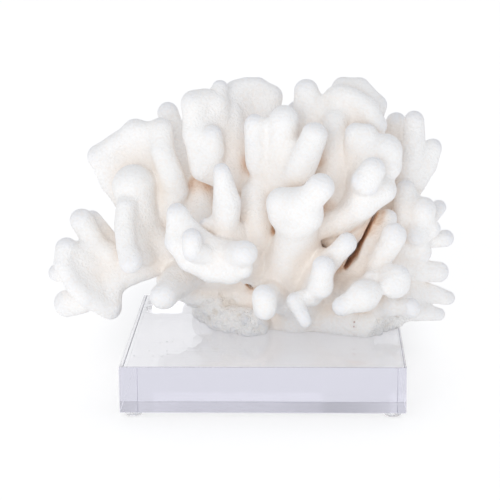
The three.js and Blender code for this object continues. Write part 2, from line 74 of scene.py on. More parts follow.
# Each branch: limbs are chains of balls (x, y, z, radius); webs are three balls with a sheet
# between them, where neighbouring fingers have grown together.
BRANCHES = {
    "holdfast": {
        "limbs": [
            [(-36, 26, 4, 8), (-20, 0, 5, 10), (-8, -7, 5, 10.5)],
            [(-24, 16, 14, 10), (-12, 8, 18, 12), (4, 6, 22, 14)],
            [(16, 12, 6, 13), (38, -2, 6, 11), (56, -11, 6, 10), (68, 6, 6, 10)],
            [(-22, 42, 6, 13), (14, 50, 6, 14), (50, 36, 6, 13)],
            [(10, 22, 6, 27), (8, 22, 34, 22), (10, 20, 52, 15)],
            [(40, 18, 14, 16), (26, 20, 30, 17)],
            [(-54, 2, 28, 8), (-42, 4, 21, 8), (-28, 6, 14, 9)],
            [(-2, -9, 48, 10), (11, -12, 46, 12.5), (8.4, -13, 34, 12.5)],
        ],
        "webs": [],
    },
    "left_arm": {
        "limbs": [
            [(-14, 12, 28, 13), (-36, 2, 36, 12.5), (-58, -6, 45, 11),
             (-74, -10, 38, 9), (-86, -14, 31, 7)],
            [(-60, -6, 50, 10), (-66, -6, 59, 9), (-70.5, -8, 72, 10.8), (-72.6, -9, 84.5, 12.4)],
            [(-76, -21, 75.5, 5.6), (-77.5, -25, 66, 5.2),
             (-75.5, -31, 55, 5.2), (-72.4, -36, 47.2, 6.2)],
            [(-44, -10, 35, 10), (-49, -22, 33, 8.5)],
            [(-46, -14, 34, 9), (-51, -32, 32, 7.5), (-54.5, -45, 30.5, 7.4)],
        ],
        "webs": [
            [(-76, -19, 73, 4.8), (-75.5, -29, 55, 4.6), (-63, -6, 54, 7)],
            [(-76, -26, 54, 4.6), (-72.5, -34, 48, 5), (-62, -8, 46, 7)],
            [(-77, -10, 70, 4.6), (-66, -8, 60, 7), (-76, -22, 58, 4.4)],
        ],
    },
    "left_tip_fan": {
        "limbs": [
            [(-80, -11, 38, 8), (-96, -12, 35, 6), (-117, -9, 35, 4.8)],
            [(-109.5, -22, 52, 6), (-111, -26, 44, 4.6), (-105.5, -28, 33.5, 4.4),
             (-97.5, -28, 24.5, 4.4), (-86, -22, 17.5, 6)],
            [(-86, -12, 46, 6.5), (-93, -10, 49, 6), (-102, -10, 65, 6.7)],
            [(-84, -4, 44, 7), (-89, 2, 51, 6), (-97.7, 4, 63, 5.1)],
            [(-84, -13, 32, 7), (-92, -12, 25, 7.5), (-103, -10, 18.5, 6.4), (-112, -8, 17, 7.5)],
        ],
        "webs": [
            [(-109.5, -21, 51, 5), (-111, -25, 44, 4.2), (-93, -13, 38, 5)],
            [(-111, -25, 44, 4.2), (-105.5, -27, 33.5, 4.2), (-93, -13, 36, 5)],
            [(-105.5, -27, 33.5, 4.2), (-97.5, -27, 24.5, 4.2), (-90, -13, 32, 5)],
            [(-97.5, -27, 24.5, 4.2), (-86, -21, 18, 5), (-87, -14, 30, 5.5)],
            [(-109, -20, 50, 4.6), (-93, -10, 49, 5.4), (-92, -12, 38, 5.5)],
            [(-86, -21, 18, 5), (-84, -14, 34, 6), (-90, -12, 30, 5.5)],
        ],
    },
    "left_blade": {
        "limbs": [
            [(-18, 14, 42, 13), (-40, 8, 56, 12), (-57, 4, 71, 11)],
            [(-56, 2, 70, 10), (-50, -3, 81, 7.5), (-52, -6, 89, 7.8),
             (-57, -4, 103, 6.6), (-57.6, 1, 115.5, 5.6)],
            [(-62, 6, 72, 9), (-78, 7, 70, 6.2), (-87, 8, 83, 5.4), (-93.5, 8, 97.5, 5.6)],
            [(-64, 5, 76, 8), (-71, 8, 98, 6.5), (-73, 8, 112.5, 5.8)],
            [(-73, 8, 112, 5.5), (-84, 8, 105, 5.2), (-93.5, 8, 98.5, 5.2)],
            [(-34, 6, 56, 11), (-37, 6, 70, 9.5), (-37, 9, 82, 8)],
        ],
        "webs": [
            [(-93, 8, 98, 5.2), (-86.5, 8, 83, 5.2), (-72, 8, 90, 5.4)],
            [(-93, 8, 98, 5.2), (-73, 8, 112, 5.4), (-72, 8, 90, 5)],
            [(-86.5, 8, 83, 5.2), (-68, 6, 70, 7.4), (-70, 7, 90, 5.6)],
            [(-73, 8, 112, 5.2), (-58, 1, 114, 5.2), (-64, 3, 90, 5.2)],
            [(-58, 1, 113, 5.2), (-52, -3, 86, 6.6), (-66, 4, 86, 6)],
            [(-52, -3, 84, 6.6), (-66, 5, 70, 8), (-68, 6, 90, 5.6)],
        ],
    },
    "left_rear_finger": {
        "limbs": [
            [(-12, 24, 42, 12), (-34, 28, 62, 9.5), (-48, 30, 90, 7.8), (-56, 32, 119, 6.4)],
        ],
        "webs": [],
    },
    "top_left_blade": {
        "limbs": [
            [(-2, 18, 44, 14), (-10, 14, 72, 13), (-14, 12, 90, 11)],
            [(-22, 2, 88, 9), (-34, -5, 95, 7.6), (-38.6, -3, 111, 6), (-39, 0, 129, 6.2)],
            [(-39, 0, 129, 6), (-33, 2, 131, 6), (-27, 4, 129, 6.6), (-25, 8, 136.6, 4.4)],
            [(-28.6, -6, 102, 6.4), (-29.2, -8, 113, 5.8)],
            [(-14, 14, 90, 11), (-14, 19, 114, 6.6), (-16, 20, 133, 5.4)],
            [(-8, 16, 92, 10), (2, 24, 108, 6), (3.6, 26, 129, 5.2)],
            [(-17, 20, 133, 5.2), (-11, 21, 136, 5), (-4.5, 23, 135.6, 5), (3, 26, 130, 5)],
            [(-22, 10, 96, 9), (-21, 14, 120, 4.6), (-20, 16, 131, 4.6)],
            [(-16, 6, 88, 11.5), (-18.7, 8, 106, 9), (-19.2, 12, 121, 7)],
        ],
        "webs": [
            [(-38.6, -2, 112, 5.4), (-39, 0, 129, 5.6), (-27, 5, 127, 5.6)],
            [(-38.6, -3, 112, 5.4), (-26, 6, 126, 5.6), (-24, 4, 94, 8)],
            [(-38.6, -3, 112, 5.4), (-34, -5, 95, 7), (-24, 4, 94, 8)],
            [(-27, 5, 127, 5), (-20, 15, 128, 4.2), (-20, 10, 96, 7)],
            [(-16, 20, 132, 4.8), (3, 26, 129, 4.8), (-6, 21, 98, 6)],
            [(-16, 20, 132, 4.8), (-14, 14, 94, 8), (-6, 20, 98, 6)],
            [(3, 26, 128, 4.8), (-4, 18, 92, 8), (-10, 18, 100, 6)],
        ],
    },
    "centre_lobe": {
        "limbs": [
            [(8, 18, 50, 14), (6, 10, 66, 12), (6, 2, 80, 11), (8, -6, 92, 9)],
            [(-1, -8, 90, 7), (-4, -12, 100, 6), (-5.4, -15, 110, 5.2), (-5, -14, 120, 5)],
            [(7, -9, 88, 8), (9.4, -14, 104, 7.6), (11, -16, 122.5, 8)],
            [(12, -10, 84, 9), (19, -22, 94, 8), (23.6, -26, 106, 8), (27.4, -26, 116, 7)],
            [(2, 0, 88, 9), (-4.6, -7, 80, 8), (-4.4, -10, 69, 8.6), (-3, -11, 57, 9.4)],
            [(-4.6, -11, 80, 7), (-4.6, -15, 69, 7.8), (-3.8, -17, 57, 8.6)],
        ],
        "webs": [
            [(-5, -12, 117, 4.6), (10, -12, 118, 5), (3, -7, 92, 8)],
            [(-5, -12, 117, 4.6), (-4, -10, 98, 5.6), (4, -8, 94, 7)],
            [(12, -13, 108, 6), (22, -23, 104, 6), (12, -11, 88, 9)],
        ],
    },
    "front_left_finger": {
        "limbs": [
            [(-6, 0, 40, 12), (-15, -16, 54, 9.5), (-21, -27, 65, 7.4),
             (-20, -30, 79, 7.9), (-22.6, -32, 97, 4.6)],
            [(-24, -26, 66, 5.5), (-32, -26, 66, 3.9)],
        ],
        "webs": [],
    },
    "front_left_fan": {
        "limbs": [
            [(0, 2, 32, 12), (-12, -20, 46, 11), (-22, -34, 51, 9)],
            [(-46.5, -36, 74.5, 5), (-48, -37, 66, 4.6), (-47.5, -38, 59, 5),
             (-41, -40, 50, 4.8), (-29, -40, 43, 5.2), (-18, -42, 43.5, 6)],
            [(-46.5, -36, 74, 4.6), (-36, -37, 62, 4.4), (-26, -37, 57, 5.4)],
            [(-30, -42, 53, 6), (-37.8, -49, 56, 5.4), (-38, -50, 64, 5.2)],
            [(-16, -40, 52, 8.5), (-10.2, -51, 56, 7.4)],
            [(-16, -40, 47, 7), (-11, -46, 46, 5.4)],
        ],
        "webs": [
            [(-46.5, -36, 74, 4.6), (-47.5, -38, 59, 4.8), (-34, -37, 60, 4.8)],
            [(-47.5, -38, 59, 4.8), (-41, -40, 48.5, 4.8), (-25, -36, 52, 7)],
            [(-47.5, -38, 59, 4.8), (-34, -37, 60, 4.8), (-25, -36, 52, 7)],
            [(-41, -40, 50, 4.8), (-29, -40, 43.5, 5), (-22, -36, 50, 7)],
            [(-29, -40, 43.5, 5), (-17, -42, 44, 6), (-20, -36, 50, 7)],
        ],
    },
    "front_centre_lobe": {
        "limbs": [
            [(18, 6, 6, 16), (19, -8, 30, 13.5), (19, -14, 48, 13),
             (19, -26, 61, 11), (18.5, -34, 69, 10.5)],
            [(11, -11, 24, 12.5), (12, -16, 38, 12), (12.5, -20, 48, 11.5), (15, -27, 58, 9.5)],
            [(18, -38, 72, 9.5), (19.5, -42, 80, 10)],
            [(20, -37, 78, 9.6), (10.4, -38, 80.4, 8.8)],
            [(22, -42, 81, 8.5), (26, -45, 85.5, 7.6), (31, -48, 91.5, 7.6)],
            [(18, -42, 78, 8), (24, -42, 74, 8)],
            [(11, -34, 74, 8.6), (17.4, -31, 67.5, 10), (24, -34, 74, 8)],
        ],
        "webs": [],
    },
    "top_right_blade": {
        "limbs": [
            [(20, 16, 44, 15), (32, 10, 72, 14), (40, 8, 94, 13)],
            [(32, 10, 94, 11), (25, 9, 118, 9), (23, 8, 134.5, 6.8)],
            [(40, 8, 98, 11), (42, 6, 118, 7), (41.6, 4.5, 133, 5.6),
             (48.2, 3, 132, 5.2), (56.5, 1, 127, 5.2), (61.6, -2, 117.5, 5.6)],
            [(46, 12, 98, 11), (47, 18, 118, 7), (43, 20, 135, 5.4),
             (53, 22, 134.4, 5.2), (62, 22, 125.3, 4.8)],
            [(52, 6, 96, 11), (58, 2, 108, 7)],
            [(52, 14, 96, 11), (60, 20, 110, 6), (62, 22, 124, 4.8)],
            [(38, -7, 72, 12.5), (39.5, -6, 90, 11.5), (39.4, -3, 105, 9.6), (39.3, 0, 119, 7.6)],
            [(38, 8, 100, 9), (36.8, 7, 120, 7), (38.4, 6, 131, 6)],
        ],
        "webs": [
            [(41.6, 4.5, 132, 5), (56.5, 1.5, 126, 5), (46, 7, 98, 9)],
            [(56.5, 1.5, 126, 5), (61.4, -1.5, 117, 5), (50, 8, 98, 9)],
            [(43, 20, 134, 5), (62, 22, 124, 4.6), (50, 14, 98, 9)],
            [(43, 20, 134, 5), (53, 22, 134, 5), (62, 22, 124, 4.6)],
            [(24, 8, 130, 6), (40, 6, 112, 6), (32, 9, 98, 9)],
        ],
    },
    "right_blade": {
        "limbs": [
            [(32, 8, 40, 13), (46, -3, 68, 12.5), (54, -8, 88, 11.5)],
            [(52, -10, 92, 9), (50, -13, 104, 6), (50.4, -14, 114.6, 6), (56, -16, 115, 5.8)],
            [(58, -12, 90, 10), (63, -17, 98, 8.6), (66, -19, 106, 9.4)],
            [(60, -16, 92, 8.6), (68, -19, 98, 7)],
            [(54, -14, 86, 9), (55, -30, 90, 6.5), (54, -42, 94, 6.2)],
            [(54, -20, 88, 7), (58.6, -41, 100, 6.4)],
            [(40, -6, 58, 10), (46, -12, 68, 9), (53.4, -26, 77.6, 7.6),
             (65, -25, 85.5, 6.4), (62.4, -20, 91.5, 6.4)],
            [(44, -12, 64, 8), (38, -20, 66, 7.4), (31, -21, 64, 7)],
            [(55, -16, 110, 6.4), (58, -18, 101, 8), (57, -16, 90, 9)],
        ],
        "webs": [
            [(50.4, -13, 113, 5.4), (57, -15, 112, 5), (54, -11, 94, 8)],
            [(58.6, -42, 99.6, 5.8), (52.6, -44, 94, 5.4), (57, -44, 91, 5)],
            [(58, -40, 98, 5.4), (54, -40, 92, 5.4), (54, -22, 86, 7)],
            [(65, -25, 85.5, 6), (53.4, -27, 78, 7), (54, -16, 84, 8)],
            [(62.4, -20, 91, 6), (65, -25, 85.5, 6), (56, -16, 88, 8)],
            [(53.4, -27, 78, 7), (41, -20, 66, 6.6), (46, -8, 74, 9)],
            [(64, -19, 102, 6.5), (68, -20, 97, 6), (56, -12, 90, 8)],
        ],
    },
    "right_fingers": {
        "limbs": [
            [(28, 24, 38, 13), (56, 26, 56, 11), (74, 22, 72, 9.5)],
            [(72, 24, 74, 9), (72, 29, 90, 6.6), (72.6, 30, 103, 6), (73.9, 30, 113.6, 5.5)],
            [(78, 20, 76, 9), (81, 16, 94, 6.8), (83.6, 16, 106, 6.2), (83.5, 18, 116, 5.8)],
            [(80, 19, 76, 8), (85.4, 18, 80.5, 5.2), (91, 20, 89.6, 4.8), (94.6, 22, 100.6, 4.8)],
            [(70, 28, 70, 9), (74, 42, 92, 7), (76, 46, 106, 6)],
        ],
        "webs": [
            [(91, 20, 90, 4.4), (85, 18, 81, 5), (80, 18, 92, 6)],
            [(94, 22, 99, 4.4), (91, 20, 90, 4.4), (82, 17, 98, 5)],
            [(72.6, 28, 98, 5), (82, 18, 96, 5.4), (76, 22, 76, 8)],
        ],
    },
    "right_low_branch": {
        "limbs": [
            [(32, 16, 26, 13), (58, 12, 42, 12), (76, 6, 52, 10)],
            [(76, 5, 54, 8.5), (76.6, 0, 63.5, 6), (78.8, 6, 80, 5.2)],
            [(78, 4, 54, 9), (86, 0, 58, 7.4), (88, -2, 69.5, 7.4)],
            [(84, 12, 56, 6.5), (93, 16, 62, 5), (98, 18, 66.5, 4.6)],
            [(86, 2, 56, 7), (94.5, 6, 57.4, 3.7)],
            [(82, 9, 50, 7.5), (93, 12, 49, 4.6), (101.6, 14, 49.6, 5.1)],
            [(76, 5, 46, 8), (87, 4, 44, 6.6)],
            [(70, 8, 36, 10), (83, 8, 32.5, 7), (98, 12, 30.4, 5.8)],
            [(84, 2, 56, 6), (83.8, -6, 56, 6.2)],
            [(90, 2, 58, 5), (94, 0, 58.5, 4.4)],
        ],
        "webs": [
            [(78.8, 6, 78, 5), (86, 0, 66, 6), (78, 3, 58, 7)],
        ],
    },
    "right_foot_branch": {
        "limbs": [
            [(36, 12, 14, 13), (62, 12, 17, 11), (80, 13, 18, 9)],
            [(80, 13, 18.5, 8), (91, 14, 18, 6), (104, 18, 13.4, 4.2)],
            [(76, 8, 11, 9), (85, 8, 8.6, 6), (98.5, 10, 6.2, 3.8)],
            [(52, -2, 18, 9), (68.5, -16, 16.6, 4.6),
             (74, -19, 17.4, 4.2), (80.4, -22, 18.1, 5.6)],
            [(66, -13, 15, 5), (68.5, -17, 18, 4.4)],
        ],
        "webs": [],
    },
    "right_front_branch": {
        "limbs": [
            [(34, 6, 24, 13), (48, -8, 30, 11), (60, -20, 36, 9)],
            [(58, -16, 38, 7), (62, -24, 45, 6.2), (68, -28, 54, 6), (70.8, -30, 61, 6.8)],
            [(60, -20, 36, 8.5), (68, -32, 36.5, 8), (71, -40, 36.5, 8.2)],
            [(70, -36, 40, 5.5), (73.6, -40, 41.5, 4.6)],
            [(62, -24, 38, 7), (57.8, -35, 38.6, 4)],
            [(48, -16, 29, 9), (53, -34, 31, 7), (54, -48, 31.8, 7.4)],
            [(54, -46, 31, 7), (42.4, -50, 26.6, 5.4)],
            [(54, -46, 33, 6), (58.6, -46, 33.6, 5)],
            [(46, -13, 32, 9.5), (52, -15, 42, 9), (57, -14, 53, 8)],
            [(42, -10, 44, 8), (49, -10, 56, 8), (56, -9, 68, 7)],
        ],
        "webs": [
            [(68.2, -10, 66, 4.4), (59.4, -14, 54, 4.8), (66, -26, 52, 4.8)],
            [(59.4, -14, 54, 4.8), (62, -24, 44, 5.4), (52, -6, 44, 8)],
            [(68.2, -10, 66, 4.4), (59.4, -14, 54, 4.8), (52, -4, 58, 8)],
        ],
    },
    "front_low_branch": {
        "limbs": [
            [(22, 0, 24, 12), (27, -18, 34, 9), (30, -34, 35, 7), (31, -45, 37, 6)],
            [(30.4, -46, 36, 6), (32.4, -49, 48, 6)],
            [(27, -14, 42, 9), (36, -32, 48, 6), (40, -36, 53, 5.4), (45, -38, 58.6, 5.6)],
            [(24, -22, 28, 8), (26, -40, 29, 5.4), (17, -48, 28.8, 4.8),
             (20.8, -54, 23, 4), (22.6, -56, 19.6, 3.6)],
        ],
        "webs": [
            [(31, -44, 38, 5), (36, -33, 47, 5), (29, -24, 38, 7)],
        ],
    },
    "front_stub": {
        "limbs": [
            [(8, -8, 24, 10), (3, -34, 28, 6.6), (0.6, -50, 30.5, 6.4)],
            [(0.4, -55, 33.4, 6.2), (0.8, -55, 26.6, 6.3)],
        ],
        "webs": [],
    },
    # The side away from the front, with the same open growth as the front.
    "rear_left_branch": {
        "limbs": [
            [(-10, 30, 26, 14), (-34, 42, 40, 12), (-52, 48, 52, 10)],
            [(-52, 47, 50, 9), (-66, 44, 62, 7.5), (-78, 42, 74, 6.5)],
            [(-54, 48, 54, 9), (-62, 54, 72, 7.5), (-66, 56, 88, 6.5)],
            [(-52, 48, 48, 8), (-68, 58, 50, 6.5), (-80, 62, 56, 5.5)],
            [(-44, 46, 44, 9), (-56, 62, 40, 7), (-62, 72, 42, 6)],
            [(-42, 44, 50, 9), (-44, 52, 70, 7.5), (-46, 54, 82, 6.5)],
        ],
        "webs": [
            [(-66, 46, 60, 6), (-62, 54, 74, 5.6), (-52, 48, 56, 8)],
            [(-68, 58, 50, 5.4), (-58, 61, 41, 6), (-50, 50, 46, 8)],
        ],
    },
    "rear_centre_blade": {
        "limbs": [
            [(4, 32, 36, 15), (2, 42, 62, 13), (0, 44, 80, 12)],
            [(-4, 44, 80, 11), (-22, 46, 100, 8), (-26, 46, 112, 7)],
            [(0, 44, 82, 11), (-6, 50, 104, 8.5), (-8, 52, 118, 7)],
            [(4, 44, 82, 11), (14, 50, 102, 8.5), (18, 52, 116, 7)],
            [(0, 46, 72, 11), (-2, 62, 84, 8), (-4, 70, 92, 6.5)],
            [(6, 46, 66, 10), (20, 62, 72, 8), (26, 70, 78, 6.5)],
            [(-4, 46, 62, 10), (-20, 62, 64, 8), (-28, 68, 70, 6.5)],
        ],
        "webs": [
            [(-24, 46, 106, 6), (-8, 51, 112, 6), (-4, 46, 86, 9)],
            [(-2, 64, 86, 6), (20, 62, 74, 6), (2, 48, 70, 9)],
        ],
    },
    "rear_right_branch": {
        "limbs": [
            [(20, 34, 30, 14), (42, 46, 48, 12), (52, 50, 62, 11)],
            [(52, 50, 62, 10), (50, 52, 86, 8), (48, 54, 104, 7)],
            [(54, 50, 62, 10), (66, 54, 80, 7.5), (70, 56, 92, 6.5)],
            [(54, 50, 58, 9), (70, 58, 62, 7.5), (80, 60, 68, 6)],
            [(48, 50, 52, 10), (54, 66, 58, 8), (56, 74, 64, 6.5)],
            [(44, 46, 44, 10), (66, 50, 38, 8), (80, 52, 38, 6)],
        ],
        "webs": [
            [(50, 53, 92, 6), (66, 54, 82, 6), (54, 50, 66, 9)],
        ],
    },
    "rear_low_branch": {
        "limbs": [
            [(6, 40, 16, 14), (4, 58, 28, 10), (2, 70, 36, 7)],
            [(10, 44, 18, 11), (30, 62, 26, 8), (38, 70, 32, 6.5)],
            [(0, 42, 18, 11), (-24, 58, 22, 8), (-34, 66, 26, 6.5)],
            [(20, 46, 30, 10), (26, 66, 46, 7), (28, 74, 52, 6)],
            [(-2, 46, 34, 10), (-12, 66, 44, 7), (-14, 74, 50, 6)],
        ],
        "webs": [
            [(4, 60, 30, 7), (28, 62, 28, 6), (10, 46, 22, 9)],
        ],
    },
}

# Where the base is a rough crust of dead growth, and where red-brown specks and painted dark
# brown cleft shade go: balls (x, y, z, radius).
CRUST = [
    (-26, -8, 6, 17), (-38, 8, 8, 14), (-14, -16, 5, 13), (70, 2, 5, 13), (62, -12, 4, 9),
    (52, -11, 6, 8),
]
RUST_AND_CLEFT_SHADE = [
    (52, -12, 8, 10), (62, -15, 68, 5), (50, -14, 50, 7), (-9, -10, 27, 7), (18, -22, 4, 7),
    (-36, 0, 84, 8), (-43, -6, 76, 5), (-8, -8, 98, 8), (5, -16, 60, 5), (-4, -4, 92, 6),
    (33, -8, 100, 6), (-26, -4, 84, 7), (33, -18, 72, 8), (44, -22, 66, 8), (66, -14, 76, 9),
    (56, -12, 58, 9), (45, -14, 41, 7), (74, -12, 47, 8), (71, -2, 92, 8),
]
# A patch ends at the first share of its ball's radius, and fades over the second.
PATCH_REACH, PATCH_FADE = 1.25, 0.6

# Cracks and pits: where each opens and closes in y, and its line as (x, z, half width).
CRACKS = (
    (-30.0, -2.0, ((62.0, 71.0, 2.6), (54.5, 57.0, 1.5), (49.0, 47.5, 3.6), (44.5, 40.5, 1.6))),
    (-30.0, 4.0, ((-9.6, 28.2, 3.6), (-8.2, 25.8, 4.4))),
)

# The field's box, its value far from the coral, how far out a limb changes it, and a web's share
# of the fingers' blend.
FIELD_LOW, FIELD_HIGH = (-128, -68, -2), (116, 92, 150)
FAR = 30.0
FIELD_REACH = 12.0
WEB_BLEND = 0.8
# Places are kept this many cells inside the field's far sides before it is read.
CELL_GUARD = 1.001
# Unevenness: (wavelength, share of the height).
LUMPS = ((9.0, 0.75), (4.0, 0.35))
GRIT = ((4.5, 0.55), (2.2, 0.8))
# How widely the coral round a point is averaged, to tell sheltered faces, painted in shade, from
# open ones; on every second or third point of the grid; and how far off the skin the shelter is
# felt.
SHELTER_SPREAD, SHELTER_EVERY, SHELTER_LIFT = 9.0, 3, 5.0
CREVICE_SPREAD, CREVICE_EVERY = 2.5, 2
# What the masks of the coral's looks hold on its hidden walls.
HIDDEN_MASK = 0.5
# Rounds of work on the borders between the branches.
SMOOTH_PASSES, ISLAND_PASSES, PINCH_PASSES, CLEAN_PASSES = 6, 12, 40, 10
# The hidden wall that closes a branch: how far in it bends, how deep it goes, in how many steps.
WALL_LIP, WALL_DEPTH, SINK_STEPS = 1.5, 3.0, 6

# The coral's looks: bumps per metre, detail and roughness of a noise, the levels of a mask
# between which a colour comes in, and how far the colour then covers the ones under it.
CLOUD, DRIFT, WANDER = (55.0, 4.0, 0.6), (14.0, 2.0), 0.22
# The rim, hollow and cleft colours are painted shade, laid over the skin by these levels.
RIM_SHADE_LEVELS, RIM_SHADE_COVER = (0.43, 0.30), 0.7
HOLLOW_SHADE_LEVELS, HOLLOW_SHADE_COVER = (0.22, 0.52), (0.65, 0.3)
CREAM_LEVELS, CREAM_COVER = (0.5, 0.75), 0.25
CLEFT_SHADE_LEVELS, CLEFT_SHADE_COVER = (0.36, 0.62), 0.8
PIT_COVER = 0.3
GRIT_LEVELS, GRIT_COVER = (0.5, 0.62), 0.5
SPECKS_PER_METRE, SPECK_AMOUNT, SPECK_COVER = 520.0, 0.4, 0.8
SPECK_STAIN, SPECK_CRUST = (0.3, 0.8), (0.0, 0.3)
SKIN_ROUGHNESS, SKIN_GLOSS = (0.82, 0.97), 0.3
RELIEF_STRENGTH, RELIEF_HEIGHTS = 0.8, (0.3 * MM, 0.9 * MM)
# The skeleton's grain: a grain's reach, its sugar (detail, roughness) and height, and its gaps.
GRAIN_REACH, SUGAR, SUGAR_HEIGHT, GAP_LEVELS = 0.75, (3.0, 0.65), 0.6, (0.25, 0.75)
# A speck fades out between these shares of its cell.
SPECK_EDGE = (0.18, 0.42)

# Clear plastic: smears (noise, levels, stretch), scratches (levels, turn, stretch), ripples.
CLEAR_ROUGHNESS = 0.015
SMEAR_NOISE, SMEAR_LEVELS, SMEAR_STRETCH = (22.0, 4.0, 0.6, 0.4), (0.58, 0.75), (1.0, 3.5, 1.0)
SCRATCH_LEVELS, SCRATCH_TURN = (0.72, 0.78), (0.0, 0.0, 0.5)
SCRATCH_STRETCH = (12.0, 900.0, 900.0)
RIPPLES_PER_METRE, RIPPLE_HEIGHT = 45.0, 0.1 * MM
# Facets across one of the block's polished edges.
EDGE_STEPS = 4
# A bumper foot from its tread up: (share of its radius, share of its height).
FOOT_PROFILE = (
    (0.46, 0.0), (0.60, 0.01), (0.76, 0.07), (0.90, 0.22),
    (0.97, 0.42), (1.0, 0.65), (1.0, 0.90), (0.98, 1.0),
)
# A foot's corners are left sharp where they turn by more than this.
FOOT_SHARP_DEGREES = 50
# Where crumbs lie on the block: (x, y, spread in x, spread in y).
CRUMB_SPOTS = (
    (-45, -34, 12, 10),
    (-30, -38, 10, 10),
    (-52, -52, 10, 8),
    (-20, -50, 16, 12),
    (48, -52, 12, 10),
)
# How far out a crumb may lie, its radius, its stretch in x, y and z, and its corners' unevenness.
CRUMB_LIMIT = 70.0
CRUMB_RADII = (0.15, 0.55)
CRUMB_STRETCH = ((0.7, 1.4), (0.7, 1.4), (0.4, 0.8))
CRUMB_CORNERS = (0.75, 1.15)

# The view: place from the middle of the block's top face in millimetres, and turns in degrees.
CAMERA_PLACE = (26.895, -1027.248, 284.424)
CAMERA_TURN = (1.985, -13.061, -0.432)
CAMERA_CLIP = (0.05, 50.0)
SENSOR_WIDTH = 36.0
# The sweep: where its bend starts behind the object, the bend's radius, its top, degrees a step.
SWEEP_BACK, SWEEP_BEND, SWEEP_TOP, SWEEP_STEP = 1.6, 0.5, 3.5, 10
# Its mottle (bumps per metre, detail), how much of a darker grey that lays on, and the grey's
# share of the floor colour; and its finish.
MOTTLE, MOTTLE_COVER, MOTTLE_GREY = (3.0, 2.0), 0.02, 0.97
SWEEP_ROUGHNESS, SWEEP_GLOSS = 0.9, 0.1
# Between these heights in metres the sweep's own light changes to the wall's.
GLOW_HEIGHTS = (0.12, 0.45)
# Painted shade of the block on the sweep behind it, in metres, and its depth from left to right.
SHADE_WIDTH, SHADE_START, SHADE_END = (0.04, 0.115), (0.0, 0.10), (0.16, 0.30)
SHADE_SLANT, SHADE_DEPTH = (-0.02, 0.075), (0.22, 0.36)
# White coral passes light on many times before a hollow goes dark.
LIGHT_BOUNCES = 14
# Softboxes: name, place in metres, size, share of the key power, colour; and where they aim.
SOFTBOXES = (
    ("key", (-0.35, -1.35, 0.36), (0.8, 0.7), 1.0, (1.0, 0.99, 0.97)),
    ("fill", (0.75, -1.0, 0.5), (0.6, 0.6), 0.05, (0.93, 0.96, 1.0)),
)
SOFTBOX_AIM = (0.0, 0.0, 0.06)


# ---------------------------------------------------------------- settings


def length_setting(name, description, default):
    return FloatProperty(name=name, description=description, default=default, unit="LENGTH")


def colour_setting(name, description, default):
    return FloatVectorProperty(
        name=name, description=description, default=default, subtype="COLOR", size=3
    )


class CoralSizes(bpy.types.PropertyGroup):
    voxel: length_setting("Voxel", "Spacing of the grid that the skin is taken from", 0.85 * MM)
    finger_blend: length_setting(
        "Finger Blend", "How widely the limbs and webs of one branch run into each other", 4.0 * MM
    )
    fork_blend: length_setting(
        "Fork Blend", "How widely neighbouring branches run into each other", 2.5 * MM
    )
    lump_height: length_setting(
        "Lump Height", "Height of the soft unevenness of the fingers", 0.45 * MM
    )
    crust_height: length_setting(
        "Crust Height", "Height of the broken crust round the base", 1.7 * MM
    )
    glue_film: length_setting(
        "Glue Film", "Thickness of the glue between the coral and the block", 0.1 * MM
    )
    seed: IntProperty(
        name="Seed",
        description="Start of every random draw for the coral's unevenness and crumbs",
        default=7,
    )


class CoralColours(bpy.types.PropertyGroup):
    skin: colour_setting("Skin", "Bleached outer skin", (0.95, 0.945, 0.94))
    # Painted shade: a cooler grey on thin finger tips and sheet rims, where the light grazes them.
    rim: colour_setting("Rim", "Thin finger tips and sheet rims", (0.84, 0.85, 0.885))
    # Painted shade: a warm tan on sheltered faces, standing in for shade and light bounced between
    # the branches.
    hollow_shade: colour_setting("Hollow", "Sheltered faces between the branches", (0.91, 0.835, 0.765))
    cream: colour_setting("Cream", "Slow yellowish drifts over the skin", (0.91, 0.88, 0.82))
    grit: colour_setting("Grit", "Pits of the dead crust round the base", (0.82, 0.75, 0.66))
    # Painted shade: dark brown in the deepest clefts, where shade falls.
    cleft_shade: colour_setting(
        "Cleft", "Deepest clefts, which the bleach didn't reach", (0.66, 0.38, 0.19)
    )
    rust: colour_setting("Rust", "Red-brown specks of encrusting algae", (0.33, 0.09, 0.05))


class StandSettings(bpy.types.PropertyGroup):
    edge: length_setting("Polished Edge", "Radius of the block's polished edges", 0.35 * MM)
    tint: colour_setting(
        "Acrylic Tint", "Colour that thick acrylic keeps of the light that passes it",
        (0.48, 0.468, 0.62),
    )
    tint_density: FloatProperty(
        name="Tint Density", description="How fast the acrylic takes up light", default=4.4
    )
    ior: FloatProperty(
        name="Acrylic IOR", description="Refraction index of acrylic", default=1.49
    )
    foot_sides: IntProperty(
        name="Foot Sides", description="Facets round a bumper foot", default=48
    )
    crumbs: IntProperty(
        name="Crumbs", description="Coral crumbs lying on the block", default=110
    )


class StageSettings(bpy.types.PropertyGroup):
    floor_colour: colour_setting("Floor Colour", "Colour of the plain sweep", (0.45, 0.45, 0.455))
    floor_size: length_setting("Floor Size", "Width and length of the sweep", 12.0)
    floor_glow: FloatProperty(
        name="Floor Glow",
        description="Light from under the sweep, which keeps it white",
        default=0.66,
    )
    wall_glow: FloatProperty(
        name="Wall Glow",
        description="Light from behind the sweep's wall, higher up than the view reaches",
        default=0.63,
    )
    world_colour: colour_setting("Room Colour", "Colour of the white room", (0.94, 0.96, 1.0))
    world_strength: FloatProperty(
        name="Room Strength", description="Brightness of the white room", default=0.68
    )
    key_power: FloatProperty(
        name="Key Power",
        description="Power of the front softbox",
        default=5.0,
        subtype="POWER",
        unit="POWER",
    )
    focal: FloatProperty(
        name="Focal Length",
        description="Lens in millimetres on a sensor 36 mm wide",
        default=135.01,
    )


# ---------------------------------------------------------------- the coral's field


